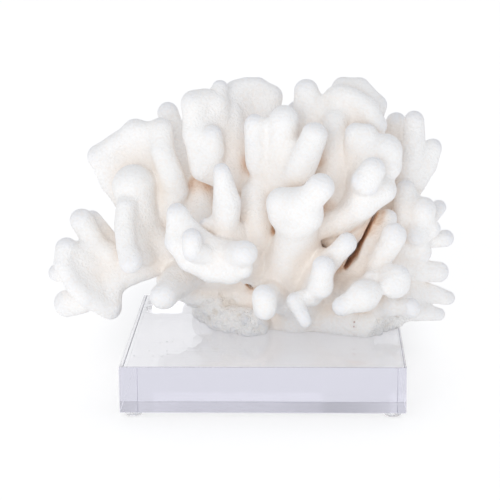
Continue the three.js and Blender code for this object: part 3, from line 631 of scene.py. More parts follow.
class Grid:
    """Points a voxel apart, in millimetres from the middle of the block's top face."""

    def __init__(self, low, high, step):
        self.step = step
        self.origin = np.array(low, float)
        counts = ((np.array(high, float) - self.origin) / step).astype(int) + 1
        self.shape = tuple(counts)
        self.axes = [self.origin[i] + step * np.arange(counts[i]) for i in range(3)]

    def window(self, balls, margin):
        """The part of the grid that lies within a margin of the balls."""
        reach = balls[:, 3:].max() + margin
        low = np.floor((balls[:, :3].min(0) - reach - self.origin) / self.step).astype(int)
        high = np.ceil((balls[:, :3].max(0) + reach - self.origin) / self.step).astype(int)
        low = np.clip(low, 0, self.shape)
        high = np.clip(high + 1, 0, self.shape)
        return tuple(slice(a, b) for a, b in zip(low, high))

    def thinned(self, every):
        """The same box with only every second, third or further point kept."""
        coarse = copy.copy(self)
        coarse.step = self.step * every
        coarse.axes = [axis[::every] for axis in self.axes]
        coarse.shape = tuple(len(axis) for axis in coarse.axes)
        return coarse

    def points(self, window):
        x, y, z = (self.axes[i][window[i]] for i in range(3))
        return x[:, None, None], y[None, :, None], z[None, None, :]

    def sample(self, field, places):
        """The field between the grid's points, at any places."""
        spot = (places - self.origin) / self.step
        spot = np.clip(spot, 0, np.array(self.shape) - CELL_GUARD)
        whole = spot.astype(int)
        part = spot - whole
        value = 0.0
        for corner in np.ndindex(2, 2, 2):
            weight = np.prod(np.where(corner, part, 1 - part), axis=1)
            value = value + weight * field[tuple((whole + corner).T)]
        return value


def blended(a, b, width):
    """The nearer of two distances, rounded off where they are within a width of each other."""
    overlap = np.maximum(width - np.abs(a - b), 0) / width
    return np.minimum(a, b) - overlap * overlap * width / 4


def link_distance(x, y, z, start, end):
    """Distance to the cone between two balls."""
    run = end[:3] - start[:3]
    dx, dy, dz = x - start[0], y - start[1], z - start[2]
    share = np.clip((dx * run[0] + dy * run[1] + dz * run[2]) / max(run @ run, 1e-9), 0, 1)
    radius = start[3] + share * (end[3] - start[3])
    across = (dx - share * run[0]) ** 2 + (dy - share * run[1]) ** 2 + (dz - share * run[2]) ** 2
    return np.sqrt(across) - radius


def sheet_distance(x, y, z, web):
    """Distance to the flat sheet between three balls, and where a point is over the sheet."""
    first, second, third = web[:, :3]
    u, v = second - first, third - first
    normal = np.cross(u, v)
    area = normal @ normal
    to_second, to_third = np.cross(v, normal) / area, np.cross(normal, u) / area
    dx, dy, dz = x - first[0], y - first[1], z - first[2]
    b = dx * to_second[0] + dy * to_second[1] + dz * to_second[2]
    c = dx * to_third[0] + dy * to_third[1] + dz * to_third[2]
    thickness = web[0, 3] + b * (web[1, 3] - web[0, 3]) + c * (web[2, 3] - web[0, 3])
    height = np.abs(dx * normal[0] + dy * normal[1] + dz * normal[2]) / math.sqrt(area)
    return height - thickness, (b >= 0) & (c >= 0) & (b + c <= 1)


def add_shape(field, grid, balls, blend, is_web):
    """Blends a limb, or a web, into a field."""
    balls = np.array(balls, float)
    window = grid.window(balls, FIELD_REACH)
    x, y, z = grid.points(window)
    links = list(zip(balls[:-1], balls[1:]))
    if is_web:
        links.append((balls[2], balls[0]))
    shape = link_distance(x, y, z, *links[0])
    for start, end in links[1:]:
        shape = np.minimum(shape, link_distance(x, y, z, start, end))
    if is_web:
        sheet, over = sheet_distance(x, y, z, balls)
        shape = np.where(over, np.minimum(shape, sheet), shape)
    field[window] = blended(field[window], shape, blend)


def branch_field(grid, branch, blend):
    field = np.full(grid.shape, FAR, np.float32)
    for limb in branch["limbs"]:
        add_shape(field, grid, limb, blend, False)
    for web in branch["webs"]:
        add_shape(field, grid, web, blend * WEB_BLEND, True)
    return field


def wavy_noise(grid, wavelength, rng):
    """Smooth random values, mostly between -1 and 1, whose bumps are a wavelength apart."""
    weights = []
    for axis in grid.axes:
        place = (axis - axis[0]) / wavelength
        knot = place.astype(int)
        t = place - knot
        rows = np.arange(len(axis))
        weight = np.zeros((len(axis), knot[-1] + 4))
        weight[rows, knot] = (1 - t) ** 3 / 6
        weight[rows, knot + 1] = (3 * t**3 - 6 * t**2 + 4) / 6
        weight[rows, knot + 2] = (-3 * t**3 + 3 * t**2 + 3 * t + 1) / 6
        weight[rows, knot + 3] = t**3 / 6
        weights.append(weight)
    knots = rng.uniform(-1, 1, [weight.shape[1] for weight in weights])
    noise = np.einsum("ai,bj,ck,ijk->abc", *weights, knots, optimize=True)
    return (noise / (2 * noise.std())).astype(np.float32)


def fullness(grid, field, spread, every, places):
    """How much of the room round each place is coral, weighed by a bell curve, from 0 to 1."""
    coarse = grid.thinned(every)
    solid = np.clip(0.5 - field[::every, ::every, ::every] / coarse.step, 0, 1)
    for axis in range(3):
        spots = coarse.axes[axis]
        bell = np.exp(-(((spots[:, None] - spots[None, :]) / spread) ** 2) / 2)
        bell = bell / bell.sum(1, keepdims=True)
        solid = np.moveaxis(np.tensordot(bell, solid, axes=(1, axis)), 0, axis)
    return coarse.sample(solid, places)


def patch_mask(x, y, z, balls):
    """1 at the middle of the balls, fading to 0 a little outside them."""
    mask = 0.0
    for bx, by, bz, radius in balls:
        distance = np.sqrt((x - bx) ** 2 + (y - by) ** 2 + (z - bz) ** 2)
        share = (PATCH_REACH * radius - distance) / (PATCH_FADE * radius)
        mask = np.maximum(mask, np.clip(share, 0, 1))
    return mask * mask * (3 - 2 * mask)


def crack_depth(x, y, z):
    """How far inside a crack each place is, in millimetres, below 0 outside all of them."""
    depth = -FAR
    for front, back, line in CRACKS:
        open_share = np.where(y < front, 0, 1 - np.clip((y - front) / (back - front), 0, 1))
        for (x1, z1, wide1), (x2, z2, wide2) in zip(line, line[1:]):
            run, rise = x2 - x1, z2 - z1
            along = np.clip(((x - x1) * run + (z - z1) * rise) / (run * run + rise * rise), 0, 1)
            off = np.hypot(x - x1 - along * run, z - z1 - along * rise)
            depth = np.maximum(depth, open_share * (wide1 + along * (wide2 - wide1)) - off)
    return depth


def grow_colony(sizes):
    """The colony as one field, below 0 inside it, and the number of the nearest branch."""
    grid = Grid(FIELD_LOW, FIELD_HIGH, sizes.voxel / MM)
    rng = np.random.default_rng(sizes.seed)
    field = np.full(grid.shape, FAR, np.float32)
    nearest = np.full(grid.shape, FAR, np.float32)
    owner = np.zeros(grid.shape, np.int16)
    for number, branch in enumerate(BRANCHES.values()):
        own = branch_field(grid, branch, sizes.finger_blend / MM)
        closer = own < nearest
        owner[closer] = number
        nearest[closer] = own[closer]
        field = blended(field, own, sizes.fork_blend / MM)
    x, y, z = grid.points((slice(None),) * 3)
    crust = patch_mask(x, y, z, CRUST)
    lump = sizes.lump_height / MM
    for wavelength, share in LUMPS:
        field -= (lump * share) * wavy_noise(grid, wavelength, rng)
    grit = sizes.crust_height / MM
    for wavelength, share in GRIT:
        field -= (grit * share) * crust * wavy_noise(grid, wavelength, rng)
    field = np.maximum(field, crack_depth(x, y, z))
    field = np.maximum(field, sizes.glue_film / MM - z)
    return grid, field.astype(np.float32), owner


# ---------------------------------------------------------------- the coral's skin


def face_sides(faces):
    """Each side of each face as (from, to, face)."""
    start = faces.ravel()
    end = np.roll(faces, -1, axis=1).ravel()
    return start, end, np.repeat(np.arange(len(faces)), 4)


def shared_sides(faces):
    """Pairs of faces that share a side, and that side's two points."""
    start, end, face = face_sides(faces)
    key = np.minimum(start, end) * (faces.max() + 1) + np.maximum(start, end)
    order = np.argsort(key, kind="stable")
    key, face, start, end = key[order], face[order], start[order], end[order]
    same = key[1:] == key[:-1]
    pairs = np.stack([face[:-1][same], face[1:][same]], 1)
    return pairs, start[:-1][same], end[:-1][same]


def patches(count, pairs):
    """For each thing, the lowest number among the things that the pairs join it to."""
    root = np.arange(count)
    while True:
        a, b = root[pairs[:, 0]], root[pairs[:, 1]]
        low = np.minimum(a, b)
        new = root.copy()
        np.minimum.at(new, a, low)
        np.minimum.at(new, b, low)
        new = new[new]
        if (new == root).all():
            return root
        root = new


def skin_of(grid, field):
    """The skin where the field is 0, without loose bits: its points, and outward faces."""
    volume = openvdb.FloatGrid(FAR)
    volume.copyFromArray(field)
    points, faces = volume.convertToQuads(0.0)
    faces = faces.astype(int)
    root = patches(len(faces), shared_sides(faces)[0])
    return grid.origin + points * grid.step, faces[root == np.bincount(root).argmax()]


def drop_islands(owner, pairs, branch_count):
    """Gives each branch's stray patches of skin to the branch around them."""
    for _ in range(ISLAND_PASSES):
        inside = pairs[owner[pairs[:, 0]] == owner[pairs[:, 1]]]
        patch = patches(len(owner), inside)
        size = np.bincount(patch, minlength=len(owner))
        stray = np.zeros(len(owner), bool)
        for number in range(branch_count):
            mine = np.flatnonzero(owner == number)
            if len(mine) == 0:
                raise RuntimeError(f"branch {number} has no skin of its own")
            keep = patch[mine][np.argmax(size[patch[mine]])]
            stray[mine[patch[mine] != keep]] = True
        if not stray.any():
            return
        for a, b in (pairs.T, pairs[:, ::-1].T):
            edge = stray[a] & ~stray[b]
            owner[a[edge]] = owner[b[edge]]
    raise RuntimeError("stray patches of skin are left")


def unpinch(owner, faces, pairs, start, end, branch_count):
    """Removes points where a branch's skin would touch itself; false if some are left."""
    corner_face = np.repeat(np.arange(len(faces)), 4)
    corner_point = faces.ravel()
    for _ in range(PINCH_PASSES):
        border = owner[pairs[:, 0]] != owner[pairs[:, 1]]
        points = np.concatenate([start[border], end[border]] * 2)
        sides = owner[pairs[border, 0]], owner[pairs[border, 1]]
        owners = np.concatenate([sides[0], sides[0], sides[1], sides[1]])
        count = np.bincount(points * branch_count + owners)
        pinched = np.unique(np.flatnonzero(count > 2) // branch_count)
        if len(pinched) == 0:
            return True
        around = np.isin(corner_point, pinched)
        for point in pinched:
            mine = corner_face[around][corner_point[around] == point]
            owner[mine] = np.bincount(owner[mine]).argmax()
    return False


def split_skin(grid, points, faces, owner_field):
    """The branch that each face belongs to, with one clean border round each branch."""
    branch_count = len(BRANCHES)
    middle = points[faces].mean(1)
    cell = np.rint((middle - grid.origin) / grid.step).astype(int)
    cell = np.clip(cell, 0, np.array(grid.shape) - 1)
    owner = owner_field[tuple(cell.T)].astype(int)
    pairs, start, end = shared_sides(faces)
    for _ in range(SMOOTH_PASSES):
        votes = np.zeros((len(faces), branch_count), np.int8)
        votes[np.arange(len(faces)), owner] = 1
        for a, b in (pairs.T, pairs[:, ::-1].T):
            np.add.at(votes, (a, owner[b]), 1)
        owner = votes.argmax(1)
    for _ in range(CLEAN_PASSES):
        drop_islands(owner, pairs, branch_count)
        if unpinch(owner, faces, pairs, start, end, branch_count):
            drop_islands(owner, pairs, branch_count)
            if unpinch(owner, faces, pairs, start, end, branch_count):
                return owner
    raise RuntimeError("a branch's border still touches itself")


def slope(grid, field, places):
    """The field's direction of steepest rise at the places, one long."""
    across = np.stack([grid.sample(field, places + step) - grid.sample(field, places - step)
                       for step in np.eye(3) * grid.step], 1)
    return across / np.maximum(np.linalg.norm(across, axis=1, keepdims=True), 1e-9)


def sunk(grid, field, places, depth):
    """The places, moved into the coral by a depth, or less where it is thinner."""
    step = depth / SINK_STEPS
    for _ in range(SINK_STEPS):
        places = places - step * slope(grid, field, places)
    return places


def closed_piece(grid, field, points, faces):
    """A branch's own skin, closed inside the colony by a wall that hangs from its border."""
    used, local = np.unique(faces, return_inverse=True)
    local = local.reshape(faces.shape)
    start, end, _ = face_sides(local)
    span = len(used)
    lone = ~np.isin(start * span + end, end * span + start)
    start, end = start[lone], end[lone]
    rim, place = np.unique(np.concatenate([start, end]), return_inverse=True)
    start, end = place[: len(start)], place[len(start) :]
    outer = points[used]
    inner = sunk(grid, field, outer[rim], WALL_LIP)
    deep = sunk(grid, field, inner, WALL_DEPTH)
    loop = np.unique(patches(len(rim), np.stack([start, end], 1)), return_inverse=True)[1]
    middles = np.array([deep[loop == number].mean(0) for number in range(loop.max() + 1)])
    middles = sunk(grid, field, middles, WALL_LIP)
    at_inner, at_deep = span, span + len(rim)
    at_middle = at_deep + len(rim)
    walls = [tuple(face) for face in local]
    walls += zip(rim[end], rim[start], at_inner + start, at_inner + end)
    walls += zip(at_inner + end, at_inner + start, at_deep + start, at_deep + end)
    walls += zip(at_deep + end, at_deep + start, at_middle + loop[start])
    return used, np.vstack([outer, inner, deep, middles]), walls


# ---------------------------------------------------------------- node helpers


def feed(tree, node, inputs):
    """Gives each of a node's inputs, by name or number, an output, a plain value or a colour."""
    for name, value in inputs.items():
        socket = node.inputs[name]
        if isinstance(value, bpy.types.NodeSocket):
            tree.links.new(value, socket)
        elif socket.type == "RGBA":
            socket.default_value = (*value, 1.0)
        else:
            socket.default_value = value


def place(tree, kind, inputs=None, **settings):
    """Adds a node, sets its settings, and feeds it."""
    node = tree.nodes.new(kind)
    for name, value in settings.items():
        setattr(node, name, value)
    feed(tree, node, inputs or {})
    return node


def step_between(tree, value, low, high, out_low=0.0, out_high=1.0):
    """A smooth step of a value between two of its levels."""
    inputs = {"Value": value, "From Min": low, "From Max": high}
    inputs |= {"To Min": out_low, "To Max": out_high}
    node = place(tree, "ShaderNodeMapRange", inputs, interpolation_type="SMOOTHSTEP")
    return node.outputs["Result"]


def math_of(tree, operation, *values):
    node = place(tree, "ShaderNodeMath", dict(enumerate(values)), operation=operation)
    return node.outputs[0]


def times(tree, first, second):
    return math_of(tree, "MULTIPLY", first, second)


def mixed(tree, share, first, second):
    """Two colours mixed by a share, each a colour or an output."""
    # The mix node has a set of inputs for each kind of value; these are the colours'.
    inputs = {0: share, 6: first, 7: second}
    return place(tree, "ShaderNodeMix", inputs, data_type="RGBA").outputs[2]


def point_value(tree, name):
    return place(tree, "ShaderNodeAttribute", attribute_name=name).outputs["Fac"]


def places_of(tree):
    return place(tree, "ShaderNodeTexCoord").outputs["Object"]


def noise(tree, where, scale, detail=2.0, roughness=0.5, distortion=0.0):
    inputs = {"Vector": where, "Scale": scale, "Detail": detail, "Roughness": roughness}
    inputs["Distortion"] = distortion
    return place(tree, "ShaderNodeTexNoise", inputs).outputs["Fac"]


def new_group(name, inputs, outputs):
    """An empty node group with float inputs (name, default) and float outputs."""
    group = bpy.data.node_groups.new(name, "ShaderNodeTree")
    for label, default in inputs:
        socket = group.interface.new_socket(label, in_out="INPUT", socket_type="NodeSocketFloat")
        socket.default_value = default
    for label in outputs:
        group.interface.new_socket(label, in_out="OUTPUT", socket_type="NodeSocketFloat")
    start = group.nodes.new("NodeGroupInput").outputs
    return group, start, group.nodes.new("NodeGroupOutput")


def use_group(tree, name, inputs=None):
    return place(tree, "ShaderNodeGroup", inputs, node_tree=bpy.data.node_groups[name])


# ---------------------------------------------------------------- shared effects


def make_grain_group():
    """Granular lime skeleton: rounded grains with dark gaps, and fine sugar over them."""
    inputs = [("Grains Per Metre", 750.0), ("Sugar Per Metre", 2200.0)]
    group, start, end = new_group("Skeleton Grain", inputs, ["Height", "Gap"])
    where = places_of(group)
    cells = place(
        group,
        "ShaderNodeTexVoronoi",
        {"Vector": where, "Scale": start["Grains Per Metre"]},
        feature="SMOOTH_F1",
    )
    sugar = noise(group, where, start["Sugar Per Metre"], *SUGAR)
    rounded = step_between(group, cells.outputs["Distance"], 0.0, GRAIN_REACH, 1.0, 0.0)
    height = math_of(group, "MULTIPLY_ADD", sugar, SUGAR_HEIGHT, rounded)
    gap = step_between(group, height, *GAP_LEVELS, 1.0, 0.0)
    feed(group, end, {"Height": height, "Gap": gap})


def make_speck_group():
    """Scattered specks: a mask of small spots, thick where the cover is high."""
    inputs = [("Specks Per Metre", 420.0), ("Cover", 0.5)]
    group, start, end = new_group("Specks", inputs, ["Mask"])
    cells = place(
        group,
        "ShaderNodeTexVoronoi",
        {"Vector": places_of(group), "Scale": start["Specks Per Metre"]},
        feature="F1",
    )
    chance = place(group, "ShaderNodeSeparateColor", {"Color": cells.outputs["Color"]})
    chosen = math_of(group, "LESS_THAN", chance.outputs["Red"], start["Cover"])
    spot = step_between(group, cells.outputs["Distance"], *SPECK_EDGE, 1.0, 0.0)
    feed(group, end, {"Mask": times(group, chosen, spot)})


def make_handling_group():
    """Marks of handling on polished clear plastic: faint smears, hair scratches, slow ripples."""
    inputs = [("Smear", 0.06), ("Scratch", 0.08)]
    group, start, end = new_group("Handling Marks", inputs, ["Roughness", "Height"])
    where = places_of(group)
    drawn = place(group, "ShaderNodeMapping", {"Vector": where, "Scale": SMEAR_STRETCH})
    smear = step_between(group, noise(group, drawn.outputs[0], *SMEAR_NOISE), *SMEAR_LEVELS)
    turned = place(
        group,
        "ShaderNodeMapping",
        {"Vector": where, "Rotation": SCRATCH_TURN, "Scale": SCRATCH_STRETCH},
    )
    scratch = step_between(group, noise(group, turned.outputs[0], 1.0, 0.0), *SCRATCH_LEVELS)
    soft, sharp = times(group, smear, start["Smear"]), times(group, scratch, start["Scratch"])
    rough = math_of(group, "ADD", math_of(group, "ADD", soft, sharp), CLEAR_ROUGHNESS)
    ripple = noise(group, where, RIPPLES_PER_METRE, 1.0)
    height = math_of(group, "SUBTRACT", ripple, scratch)
    feed(group, end, {"Roughness": rough, "Height": height})


# ---------------------------------------------------------------- materials


def new_material(name, slot_colour):
    """A material whose plain colour in the viewport is near what it renders as."""
    material = bpy.data.materials.new(name)
    material.use_nodes = True
    material.diffuse_color = (*slot_colour, 1.0)
    tree = material.node_tree
    return material, tree, tree.nodes["Principled BSDF"]


def covered(tree, colour, over, mask, cover):
    """A colour with another over it where a mask is, as far as a cover."""
    return mixed(tree, times(tree, mask, cover), colour, over)


def coral_skin(colours):
    """Bleached skeleton: white skin and a gritty crust with red specks, with painted shade: a
    cooler grey on the rims, a warm tan in the hollows and dark brown in the deepest clefts."""
    material, tree, shader = new_material("Bleached Coral", colours.skin)
    where = places_of(tree)
    shelter, crevice, crust, rust = (
        point_value(tree, name) for name in ("shelter", "crevice", "crust", "rust")
    )
    grain = use_group(tree, "Skeleton Grain").outputs
    edge = math_of(tree, "MULTIPLY_ADD", noise(tree, where, *CLOUD), WANDER, -WANDER / 2)
    sheltered = math_of(tree, "ADD", shelter, edge)
    # Painted shade: thin, open parts of the coral are painted a cooler grey.
    rim = step_between(tree, crevice, *RIM_SHADE_LEVELS)
    colour = covered(tree, colours.skin, colours.rim, rim, RIM_SHADE_COVER)
    # Painted shade: the warm tan goes where the coral is sheltered, less of it on the crust.
    hollow_shade = step_between(tree, sheltered, *HOLLOW_SHADE_LEVELS)
    cover = step_between(tree, crust, 0.0, 1.0, *HOLLOW_SHADE_COVER)
    colour = covered(tree, colour, colours.hollow_shade, hollow_shade, cover)
    yellowed = step_between(tree, noise(tree, where, *DRIFT), *CREAM_LEVELS)
    colour = covered(tree, colour, colours.cream, yellowed, CREAM_COVER)
    # Painted shade: dark brown in the most sheltered places within the rust patches.
    cleft_shade_mask = times(tree, step_between(tree, sheltered, *CLEFT_SHADE_LEVELS), rust)
    colour = covered(tree, colour, colours.cleft_shade, cleft_shade_mask, CLEFT_SHADE_COVER)
    # The gaps between the grains take the same tan as the painted hollow shade.
    colour = covered(tree, colour, colours.hollow_shade, grain["Gap"], PIT_COVER)
    gritty = times(tree, crust, step_between(tree, crevice, *GRIT_LEVELS))
    colour = covered(tree, colour, colours.grit, gritty, GRIT_COVER)
    amount = {"Specks Per Metre": SPECKS_PER_METRE, "Cover": SPECK_AMOUNT}
    specks = use_group(tree, "Specks", amount).outputs["Mask"]
    spotted = times(tree, specks, step_between(tree, rust, *SPECK_STAIN))
    spotted = times(tree, spotted, step_between(tree, crust, *SPECK_CRUST))
    colour = covered(tree, colour, colours.rust, spotted, SPECK_COVER)
    relief = {
        "Height": grain["Height"],
        "Strength": RELIEF_STRENGTH,
        "Distance": step_between(tree, crust, 0.0, 1.0, *RELIEF_HEIGHTS),
    }
    feed(tree, shader, {
        "Base Color": colour,
        "Roughness": step_between(tree, grain["Gap"], 0.0, 1.0, *SKIN_ROUGHNESS),
        "Specular IOR Level": SKIN_GLOSS,
        "Normal": place(tree, "ShaderNodeBump", relief).outputs["Normal"],
    })
    return material


def clear_plastic(name, settings, smear, scratch, ripple):
    """Clear plastic, tinted by its depth, with marks of handling on its surface."""
    material, tree, shader = new_material(name, settings.tint)
    marks = use_group(tree, "Handling Marks", {"Smear": smear, "Scratch": scratch}).outputs
    relief = {"Height": marks["Height"], "Strength": ripple, "Distance": RIPPLE_HEIGHT}
    feed(tree, shader, {
        "Base Color": WHITE,
        "Transmission Weight": 1.0,
        "IOR": settings.ior,
        "Roughness": marks["Roughness"],
        "Normal": place(tree, "ShaderNodeBump", relief).outputs["Normal"],
    })
    taken = {"Color": settings.tint, "Density": settings.tint_density}
    depth = place(tree, "ShaderNodeVolumeAbsorption", taken)
    feed(tree, tree.nodes["Material Output"], {"Volume": depth.outputs["Volume"]})
    return material


def floor_finish(settings):
    """A seamless pale sweep, hardly mottled and lit from behind, with the block's shade painted on
    it.
    """
    material, tree, shader = new_material("Pale Sweep", settings.floor_colour)
    mottle = times(tree, noise(tree, places_of(tree), *MOTTLE), MOTTLE_COVER)
    grey = tuple(MOTTLE_GREY * channel for channel in settings.floor_colour)
    where = place(tree, "ShaderNodeSeparateXYZ", {"Vector": places_of(tree)}).outputs
    glows = settings.floor_glow, settings.wall_glow
    glow = step_between(tree, where["Z"], *GLOW_HEIGHTS, *glows)
    # Painted shade: the sweep glows less in a soft patch under and behind the block.
    sideways = math_of(tree, "ABSOLUTE", where["X"])
    shade = step_between(tree, sideways, *SHADE_WIDTH, 1.0, 0.0)
    nearer = step_between(tree, where["Y"], *SHADE_START)
    farther = step_between(tree, where["Y"], *SHADE_END, 1.0, 0.0)
    shade = times(tree, shade, times(tree, nearer, farther))
    shade = times(tree, shade, step_between(tree, where["X"], *SHADE_SLANT, *SHADE_DEPTH))
    feed(tree, shader, {
        "Base Color": mixed(tree, mottle, settings.floor_colour, grey),
        "Roughness": SWEEP_ROUGHNESS,
        "Specular IOR Level": SWEEP_GLOSS,
        "Emission Color": WHITE,
        "Emission Strength": math_of(tree, "SUBTRACT", glow, shade),
    })
    return material


# ---------------------------------------------------------------- pieces


def add_object(name, data):
    """Puts a mesh, a lamp or a camera into the scene."""
    thing = bpy.data.objects.new(name, data)
    bpy.context.scene.collection.objects.link(thing)
    return thing


def link_mesh(name, points, faces, material):
    """A smooth-shaded mesh object, from points in metres."""
    mesh = bpy.data.meshes.new(name)
    mesh.from_pydata(points.tolist(), [], faces)
    mesh.update()
    mesh.shade_smooth()
    mesh.materials.append(material)
    return add_object(name, mesh)


def mesh_of(shape, name, material):
    """The mesh of a shape that was modelled step by step."""
    mesh = bpy.data.meshes.new(name)
    shape.to_mesh(mesh)
    shape.free()
    mesh.materials.append(material)
    return mesh


def declare(piece, slot, *nodes):
    """Fixes a piece to the frame and hides the CAD nodes that it stands for."""
    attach(piece, "root")
    if nodes:
        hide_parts(*nodes)


class CORAL_OT_grow(bpy.types.Operator):
    """Grow the coral and part it at its main forks"""

    bl_idname = "coral.grow"
    bl_label = "Grow Coral"

    def execute(self, context):
        sizes, colours = context.scene.coral_sizes, context.scene.coral_colours
        grid, field, owner_field = grow_colony(sizes)
        points, faces = skin_of(grid, field)
        owner = split_skin(grid, points, faces, owner_field)
        normals = slope(grid, field, points)
        lifted = points + SHELTER_LIFT * normals
        # shelter places the painted hollow and cleft shade, crevice the painted rim shade and the
        # crust's darker pits, rust the red specks and the painted cleft shade.
        masks = {
            "shelter": fullness(grid, field, SHELTER_SPREAD, SHELTER_EVERY, lifted),
            "crevice": fullness(grid, field, CREVICE_SPREAD, CREVICE_EVERY, points),
            "crust": patch_mask(*points.T, CRUST),
            "rust": patch_mask(*points.T, RUST_AND_CLEFT_SHADE),
        }
        material = coral_skin(colours)
        for number, name in enumerate(BRANCHES):
            own = faces[owner == number]
            used, places, walls = closed_piece(grid, field, points, own)
            piece = link_mesh("coral_" + name, places * MM + np.array(TOP), walls, material)
            for label, values in masks.items():
                whole = np.full(len(places), HIDDEN_MASK, np.float32)
                whole[: len(used)] = values[used]
                layer = piece.data.attributes.new(label, "FLOAT", "POINT")
                layer.data.foreach_set("value", whole)
            # Points of the hidden walls get no normal of their own, and keep the mesh's.
            turned = np.zeros((len(places), 3))
            turned[: len(used)] = normals[used]
            piece.data.normals_split_custom_set_from_vertices(turned.tolist())
            declare(piece, "coral", name)
        return {"FINISHED"}


class CORAL_OT_block(bpy.types.Operator):
    """Make the polished acrylic block"""

    bl_idname = "coral.block"
    bl_label = "Make Acrylic Block"

    def execute(self, context):
        stand = context.scene.coral_stand
        shape = bmesh.new()
        bmesh.ops.create_cube(shape, size=1.0)
        bmesh.ops.scale(shape, vec=BLOCK_HIGH - BLOCK_LOW, verts=shape.verts)
        bmesh.ops.translate(shape, vec=(BLOCK_HIGH + BLOCK_LOW) / 2, verts=shape.verts)
        bmesh.ops.bevel(
            shape,
            geom=shape.edges[:],
            offset=stand.edge,
            segments=EDGE_STEPS,
            profile=0.5,
            affect="EDGES",
        )
        material = clear_plastic("Clear Acrylic", stand, smear=0.05, scratch=0.10, ripple=0.03)
        mesh = mesh_of(shape, "clear_block", material)
        mesh.shade_smooth()
        # The normals lean only on the polished edges, so the faces stay flat.
        core_low, core_high = np.array(BLOCK_LOW) + stand.edge, np.array(BLOCK_HIGH) - stand.edge
        places = np.array([vert.co for vert in mesh.vertices])
        mesh.normals_split_custom_set_from_vertices(places - np.clip(places, core_low, core_high))
        declare(add_object("clear_block", mesh), "clear_acrylic", "acrylic_block")
        return {"FINISHED"}


class CORAL_OT_feet(bpy.types.Operator):
    """Make the four clear bumper feet"""

    bl_idname = "coral.feet"
    bl_label = "Make Bumper Feet"

    def execute(self, context):
        stand = context.scene.coral_stand
        sides = stand.foot_sides
        material = clear_plastic("Clear Bumper", stand, smear=0.12, scratch=0.05, ripple=0.10)
        turns = [2 * math.pi * i / sides for i in range(sides)]
        faces = []
        for ring in range(len(FOOT_PROFILE) - 1):
            for side in range(sides):
                after = (side + 1) % sides
                here, above = ring * sides, (ring + 1) * sides
                faces.append((here + side, here + after, above + after, above + side))
        faces.append(tuple(reversed(range(sides))))
        faces.append(tuple(range((len(FOOT_PROFILE) - 1) * sides, len(FOOT_PROFILE) * sides)))
        for node in FEET:
            low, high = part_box(node)
            radius, height = (high.x - low.x) / 2, high.z - low.z
            middle = Vector(((low.x + high.x) / 2, (low.y + high.y) / 2, low.z))
            profile = [(radius * across, height * up) for across, up in FOOT_PROFILE]
            points = [
                (middle.x + r * math.cos(turn), middle.y + r * math.sin(turn), middle.z + z)
                for r, z in profile
                for turn in turns
            ]
            piece = link_mesh("clear_" + node, np.array(points), faces, material)
            piece.data.set_sharp_from_angle(angle=math.radians(FOOT_SHARP_DEGREES))
            declare(piece, "clear_bumper", node)
        return {"FINISHED"}


class CORAL_OT_crumbs(bpy.types.Operator):
    """Scatter crumbs of coral on the block"""

    bl_idname = "coral.crumbs"
    bl_label = "Scatter Crumbs"

    def execute(self, context):
        sizes, colours = context.scene.coral_sizes, context.scene.coral_colours
        rng = np.random.default_rng(sizes.seed + 1)
        shape = bmesh.new()
        for _ in range(context.scene.coral_stand.crumbs):
            x, y, spread_x, spread_y = CRUMB_SPOTS[rng.integers(len(CRUMB_SPOTS))]
            spot = np.clip(rng.normal((x, y), (spread_x, spread_y)), -CRUMB_LIMIT, CRUMB_LIMIT)
            middle = Vector((*spot, 0.0)) * MM
            radius = rng.uniform(*CRUMB_RADII) * MM
            ball = bmesh.ops.create_icosphere(shape, subdivisions=1, radius=radius)["verts"]
            stretch = Vector([rng.uniform(*reach) for reach in CRUMB_STRETCH])
            for vert in ball:
                vert.co *= rng.uniform(*CRUMB_CORNERS)
                vert.co = vert.co * stretch
            lift = -min(vert.co.z for vert in ball)
            bmesh.ops.translate(shape, vec=TOP + middle + Vector((0, 0, lift)), verts=ball)
        material = bpy.data.materials.get("Bleached Coral") or coral_skin(colours)
        declare(add_object("crumbs", mesh_of(shape, "crumbs", material)), "coral")
        return {"FINISHED"}


# ---------------------------------------------------------------- stage


def add_softbox(name, spot, size, power, colour):
    lamp = bpy.data.lights.new(name, "AREA")
    lamp.shape = "RECTANGLE"
    lamp.size, lamp.size_y = size
    lamp.energy = power
    lamp.color = colour
    holder = add_object(name, lamp)
    holder.location = TOP + Vector(spot)
    aim = TOP + Vector(SOFTBOX_AIM) - holder.location
    holder.rotation_euler = aim.to_track_quat("-Z", "Y").to_euler()


def sweep_shape(stage):
    """A floor that curves up into a wall a good way behind the object."""
    half = stage.floor_size / 2
    bend = [math.radians(angle) for angle in range(0, 91, SWEEP_STEP)]
    rise = [(SWEEP_BACK + SWEEP_BEND * math.sin(a), SWEEP_BEND * (1 - math.cos(a))) for a in bend]
    line = [(-half, 0.0), *rise, (SWEEP_BACK + SWEEP_BEND, SWEEP_TOP)]
    points = [(x, y, z) for y, z in line for x in (-half, half)]
    faces = [(2 * i, 2 * i + 1, 2 * i + 3, 2 * i + 2) for i in range(len(line) - 1)]
    return np.array(points), faces


def add_camera(focal):
    camera = bpy.data.cameras.new("camera")
    camera.sensor_width = SENSOR_WIDTH
    camera.lens = focal
    camera.clip_start, camera.clip_end = CAMERA_CLIP
    holder = add_object("camera", camera)
    yaw, pitch, roll = (math.radians(angle) for angle in CAMERA_TURN)
    turn = Matrix.Rotation(yaw, 3, "Z") @ Matrix.Rotation(math.pi / 2 + pitch, 3, "X")
    turn = turn @ Matrix.Rotation(roll, 3, "Z")
    holder.rotation_euler = turn.to_euler()
    holder.location = TOP + Vector(CAMERA_PLACE) * MM
    return holder


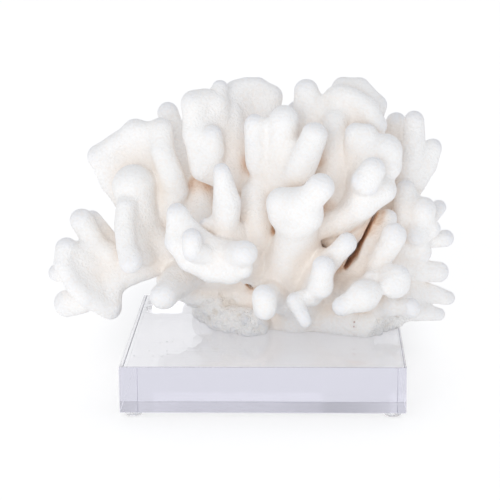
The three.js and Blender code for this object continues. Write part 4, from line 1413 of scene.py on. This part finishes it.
class CORAL_OT_stage(bpy.types.Operator):
    """Set the floor, the light and the camera"""

    bl_idname = "coral.stage"
    bl_label = "Set Stage"

    def execute(self, context):
        scene, stage = context.scene, context.scene.coral_stage
        link_mesh("sweep", *sweep_shape(stage), floor_finish(stage))
        scene.world = bpy.data.worlds.new("White Room")
        scene.world.use_nodes = True
        tree = scene.world.node_tree
        room = {"Color": stage.world_colour, "Strength": stage.world_strength}
        feed(tree, tree.nodes["Background"], room)
        for name, spot, size, share, colour in SOFTBOXES:
            add_softbox(name, spot, size, stage.key_power * share, colour)
        scene.camera = add_camera(stage.focal)
        for kind in ("max", "diffuse", "glossy", "transmission"):
            setattr(scene.cycles, kind + "_bounces", LIGHT_BOUNCES)
        scene.view_settings.view_transform = "Standard"
        scene.view_settings.look = "None"
        return {"FINISHED"}


class CORAL_PT_panel(bpy.types.Panel):
    """Settings and steps of the coral and its stand"""

    bl_idname = "CORAL_PT_panel"
    bl_label = "Coral"
    bl_space_type = "VIEW_3D"
    bl_region_type = "UI"
    bl_category = "Coral"

    def draw(self, context):
        for title, settings, steps in PANEL_PARTS:
            box = self.layout.box()
            box.label(text=title)
            for name in settings:
                group = getattr(context.scene, name)
                # The first two properties of every group are Blender's own.
                for field in group.bl_rna.properties.keys()[2:]:
                    box.prop(group, field)
            for step in steps:
                box.operator(step)


SETTINGS = {
    "coral_sizes": CoralSizes,
    "coral_colours": CoralColours,
    "coral_stand": StandSettings,
    "coral_stage": StageSettings,
}
PANEL_PARTS = (
    ("Coral", ("coral_sizes", "coral_colours"), ("coral.grow", "coral.crumbs")),
    ("Stand", ("coral_stand",), ("coral.block", "coral.feet")),
    ("Stage", ("coral_stage",), ("coral.stage",)),
)
CLASSES = (
    *SETTINGS.values(),
    CORAL_OT_grow,
    CORAL_OT_block,
    CORAL_OT_feet,
    CORAL_OT_crumbs,
    CORAL_OT_stage,
    CORAL_PT_panel,
)


def register():
    for cls in CLASSES:
        bpy.utils.register_class(cls)
    for name, group in SETTINGS.items():
        setattr(bpy.types.Scene, name, PointerProperty(type=group))


def unregister():
    for name in SETTINGS:
        delattr(bpy.types.Scene, name)
    for cls in reversed(CLASSES):
        bpy.utils.unregister_class(cls)


def main():
    register()
    make_grain_group()
    make_speck_group()
    make_handling_group()
    bpy.ops.coral.grow()
    bpy.ops.coral.block()
    bpy.ops.coral.feet()
    bpy.ops.coral.crumbs()
    bpy.ops.coral.stage()


if __name__ == "__main__":
    main()
